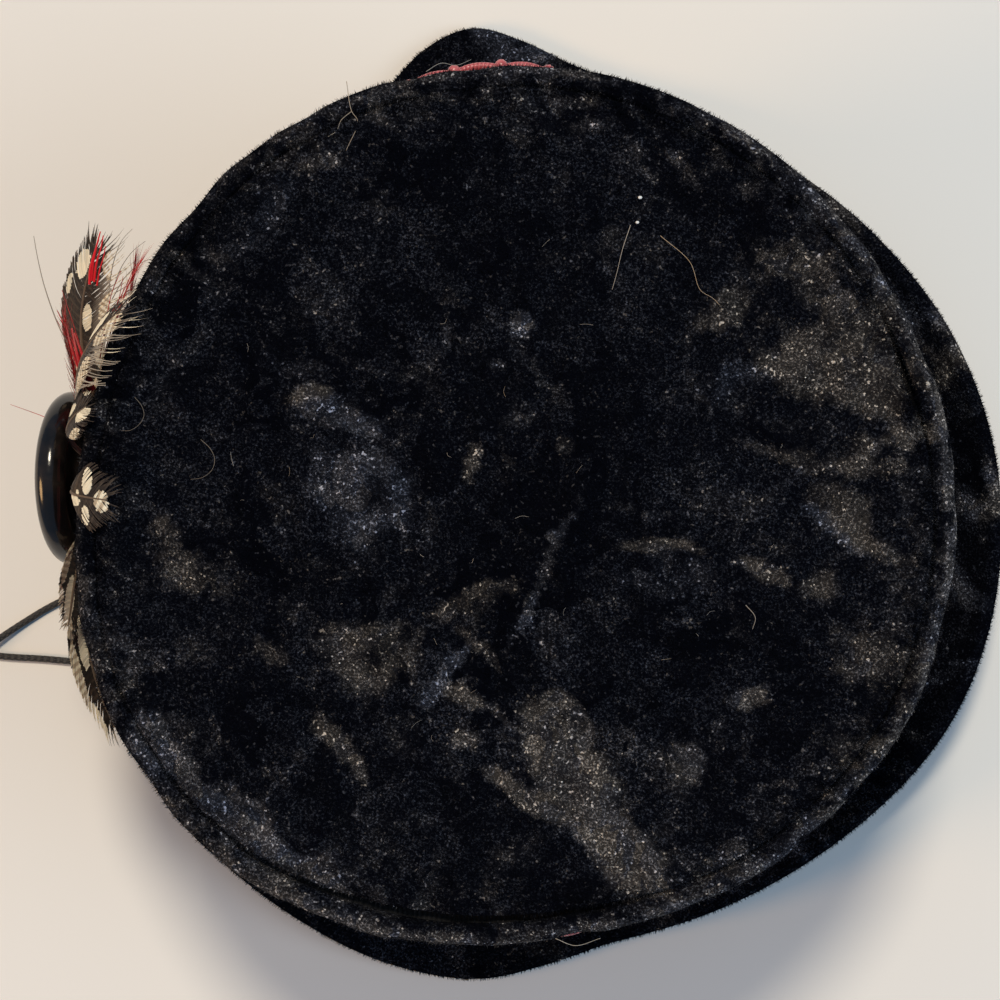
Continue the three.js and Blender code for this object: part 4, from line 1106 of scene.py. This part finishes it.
# The braid round the crown: a woven band, two scalloped satin cords over it and knots between the scallops.
braid = {
    "below": 9, "height": 3, "gap": 0.3, "reach": 2, "scallops": 59, "steps": 12, "sides": 10,
    "cord": 0.56, "knot": 1.0, "band": 0.75,
    # degrees round, how far it hangs clear of the crown as a share of its reach
    "slack": [
        (0, 0), (76, 0), (88, 0.85), (94, 0.95), (101, 0.7), (112, 0), (210, 0), (219, 0.7), (228, 0),
        (300, 0),
    ],
    # dark is the satin's red; light is partly its own tone and partly painted satin sheen, in stripes along
    # the twist
    "dark": (0.22, 0.012, 0.020, 1), "light": (0.62, 0.13, 0.14, 1),
}


def braidMaterial():
    n = Nodes("braid")
    along, turn, _ = n.parts("run")
    twist = n.sum("SINE", n.sum("ADD", n.sum("MULTIPLY", along, 11.0), turn))
    n.set(Base_Color=n.mix(n.span(twist, -2.2, 0.6), braid["dark"], braid["light"]), Roughness=0.3,
          Specular_IOR_Level=0.6, Sheen_Weight=0.15)
    n.bump(twist, 0.00005, 0.5)
    return n.material


def blobs(centres, radii, sides=10, rings=6):
    # small closed spheres (cos lat cos lon, cos lat sin lon, sin lat), stretched by their radii along
    # x, y and z
    lat = np.radians(np.linspace(-90, 90, rings + 2)[1:-1])[:, None]
    lon = 2 * math.pi * np.arange(sides)[None, :] / sides
    ring = np.stack([np.cos(lat) * np.cos(lon), np.cos(lat) * np.sin(lon), np.sin(lat) + 0 * lon], -1)
    form = np.vstack([ring.reshape(-1, 3), [(0, 0, -1), (0, 0, 1)]])
    quads = gridQuads(rings, sides)[:, ::-1]
    faces = triangles(quads, endFans(rings, sides, rings * sides, rings * sides + 1)[:, [0, 2, 1]])
    points = (centres[:, None] + form[None] * radii[:, None]).reshape(-1, 3)
    starts = (np.arange(len(centres)) * len(form))[:, None, None]
    return points, (faces[None] + starts).reshape(-1, 3)


def makeBraid():
    # cords: bulge = |sin(n a / 2)|^0.8, radius = inside + 0.78 + 0.62 bulge and
    # z = middle +- (0.42 + 0.5 bulge), the lower one half a scallop further on
    middle = rimZ - braid["below"]
    steps, sides = braid["steps"], braid["sides"]
    degrees = fullCircle(braid["scallops"] * steps)[0]
    slack = np.maximum(0, around(braid["slack"], degrees)[..., 0])
    inside = sideRadius(degrees, middle + 0 * degrees) + braid["gap"] + slack * braid["reach"]
    phase = np.radians(degrees * braid["scallops"] / 2)
    alongBand = np.radians(degrees) * crown["tip"]
    section = np.array([(0.02, -0.42), (0.8, -0.44), (1, -0.36), (1, 0.36), (0.8, 0.44), (0.02, 0.42)])
    section = section * (braid["band"], braid["height"])
    band = polar(degrees[:, None], inside[:, None] + section[None, :, 0], middle + section[None, :, 1])
    bandQuads = gridQuads(len(degrees), len(section), closed=True)
    bandRun = np.stack([np.repeat(alongBand, len(section)) * 0.6, np.tile(section[:, 1] * 2, len(degrees)),
                        np.zeros(band[..., 0].size)], 1)
    parts = [(band.reshape(-1, 3), triangles(bandQuads)[:, [0, 2, 1]], bandRun)]
    for sign, shift in ((1, 0.0), (-1, math.pi / 2)):
        bulge = np.abs(np.sin(phase + shift)) ** 0.8
        line = polar(degrees, inside + 0.78 + 0.62 * bulge, middle + sign * (0.42 + 0.5 * bulge))
        points, faces = tube(line, braid["cord"], sides, closed=True)
        parts.append((points, faces, tubeRun(alongBand, sides)))
    for sign, shift in ((1, 0), (-1, steps // 2)):
        here = np.arange(braid["scallops"]) * steps + shift
        reach = inside[here] + 0.9 + 0.4 * slack[here]
        centres = polar(degrees[here], reach, middle + sign * 0.7 + 0 * here)
        points, faces = blobs(centres, np.full((len(here), 3), braid["knot"]) * (1, 1, 0.85))
        parts.append((points, faces, np.stack([points[:, 2] * 1.3, points[:, 0] * 2, points[:, 0] * 0], 1)))
    points, faces, run = joined(parts)
    piece = makeMesh("satinBraid", points, faces, braidMaterial(), values={"run": run})
    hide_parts("braid")
    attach(piece, "root")
    stage("braid")


# Fibres and dust on the top: radius, shade from dark to white, how golden, and points in mm across the top.
lint = {
    "fibres": [
        (0.05, 0.5, 0.5, [(18.2, 42.7), (17, 39), (16.2, 35.7), (15.5, 33.1)]),
        (0.05, 0.6, 1, [(22.6, 41.1), (27, 37.1), (28.5, 33), (30.3, 31.8), (31.4, 30.7)]),
        (0.06, 0.4, 0.6, [(-24.4, 64.7), (-23.6, 60.2), (-22.7, 58.7), (-24.4, 54.3)]),
        (0.05, 0.4, 0.6, [(-23.6, 60.2), (-25.2, 58.8), (-25.9, 57.3), (-27.2, 56.4)]),
        (0.04, 0.14, 0.3, [(-56.6, 17.4), (-55.5, 16.1), (-55.2, 14.7), (-55.9, 13.3), (-57.3, 12.4),
                           (-58.7, 12.4)]),
        (0.04, 0.14, 0.3, [(-46.4, 11), (-44.9, 9.6), (-44.3, 8), (-44.7, 6.4), (-46.1, 5.3), (-48, 5)]),
        (0.04, 0.4, 0.2, [(-12.4, 66), (-10.1, 67.2), (-7.9, 66.9), (-5.6, 67.7)]),
        (0.05, 0.45, 0.4, [(7, -63.4), (10, -64.4), (13.7, -63.3)]),
        (0.05, 0.4, 0.4, [(35.2, -13.6), (36.6, -15.4), (36.2, -17.2)]),
    ],
    "specks": [(19.6, 46.8, 0.34), (19.2, 43.1, 0.3), (-25.3, -22.5, 0.14), (44, 20, 0.12), (8, -40, 0.13)],
    "dust": 28,
    "dark": (0.02, 0.018, 0.016, 1), "white": (0.8, 0.79, 0.76, 1), "gold": (0.35, 0.22, 0.1, 1),
}


def lintMaterial():
    n = Nodes("lint")
    shade, golden, _ = n.parts("tint")
    colour = n.mix(shade, lint["dark"], lint["white"])
    mottled = n.sum("MULTIPLY", golden, n.span(n.noise(2500), 0.3, 0.7, 0.6, 1.0))
    n.set(Base_Color=n.mix(mottled, colour, lint["gold"]), Roughness=0.7)
    return n.material


def topHeight(xy):
    # the panel's upper face, with its dome and dents
    x, y = xy[..., 0] / crown["tip"], xy[..., 1] / crown["tip"]
    return ledgeZ + crown["gap"] + crown["panel"] + tipRelief(x, y)


def makeLint():
    rng = np.random.default_rng(301)
    parts = []
    for radius, shade, gold, line in lint["fibres"]:
        flat = np.array(line)
        above = topHeight(flat) + 0.95 + 0.2 * np.sin(np.arange(len(flat)) * 2.1)
        points, faces = strandMesh(np.column_stack([flat, above]), radius, 5, 0.4)
        parts.append((points, faces, np.tile((shade, gold, 0.0), (len(points), 1))))
    specks = np.array(lint["specks"])
    centres = np.column_stack([specks[:, :2], topHeight(specks[:, :2]) + 0.9])
    points, faces = blobs(centres, specks[:, 2:] * (1, 0.8, 0.6), 7, 4)
    parts.append((points, faces, np.tile((0.95, 0.0, 0.0), (len(points), 1))))
    for _ in range(lint["dust"]):
        start = rng.uniform(-1, 1, 2) * crown["tip"] * 0.64
        turn, bend, length = rng.uniform(0, 2 * math.pi), rng.normal(0, 0.5), rng.uniform(0.4, 2.2)
        steps = [(math.cos(a), math.sin(a)) for a in (turn, turn + bend)]
        flat = start + np.vstack([[0, 0], np.cumsum(np.array(steps) * length / 2, 0)])
        line = np.column_stack([flat, topHeight(flat) + 0.85])
        points, faces = strandMesh(line, rng.uniform(0.015, 0.03), 4, 0.3)
        tint = (rng.uniform(0.1, 0.5), rng.uniform(0, 0.6), 0.0)
        parts.append((points, faces, np.tile(tint, (len(points), 1))))
    points, faces, tint = joined(parts)
    piece = makeMesh("lintFibres", points, faces, lintMaterial(), values={"tint": tint})
    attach(piece, "root")
    stage("lint")


makeButton()
makePlumes()
makeBraid()
makeLint()

# The table and the light of a room by day.
room = {
    "table": (0.80, 0.775, 0.74, 1), "sky": (0.37, 0.64, 1.0, 1), "skyStrength": 0.31, "half": 1500,
    # place and target in metres, size, power in watts, colour
    "ceiling": ((0.06, 0.88, 1.76), (0, 0, 0.03), 0.36, 24.6, (1.0, 0.885, 0.70)),
    "window": ((0.9, -0.15, 0.75), (0, 0, 0.03), 0.7, 4.3, (0.78, 0.89, 1.0)),
    "bulb": ((-0.75, -0.16, 0.42), (-0.12, -0.03, 0.02), 0.3, 2.9, (1.0, 0.6, 0.26)),
}


def lamp(name, place, target, size, power, colour):
    data = bpy.data.lights.new(name, "AREA")
    data.shape = "DISK"
    data.size = size
    data.energy = power
    data.color = colour
    obj = bpy.data.objects.new(name, data)
    bpy.context.collection.objects.link(obj)
    obj.location = place
    aim = np.array(target) - np.array(place)
    tilt = math.acos(-aim[2] / np.linalg.norm(aim))
    obj.rotation_euler = (tilt, 0, math.atan2(aim[1], aim[0]) - math.pi / 2)


def makeRoom():
    n = Nodes("table")
    darker = tuple(c * 0.97 for c in room["table"][:3]) + (1,)
    n.set(Base_Color=n.mix(n.noise(9, 3, 0.5), room["table"], darker), Roughness=0.6, Specular_IOR_Level=0.3)
    side = room["half"]
    points = [(-side, -side, 0), (side, -side, 0), (side, side, 0), (-side, side, 0)]
    floor = makeMesh("table", points, [(0, 1, 2, 3)], n.material, smooth=False)
    world = bpy.data.worlds.new("room")
    bpy.context.scene.world = world
    world.use_nodes = True
    background = world.node_tree.nodes["Background"]
    background.inputs["Color"].default_value = room["sky"]
    background.inputs["Strength"].default_value = room["skyStrength"]
    for name in ("ceiling", "window", "bulb"):
        lamp(name, *room[name])
    stage("table and light")


makeRoom()
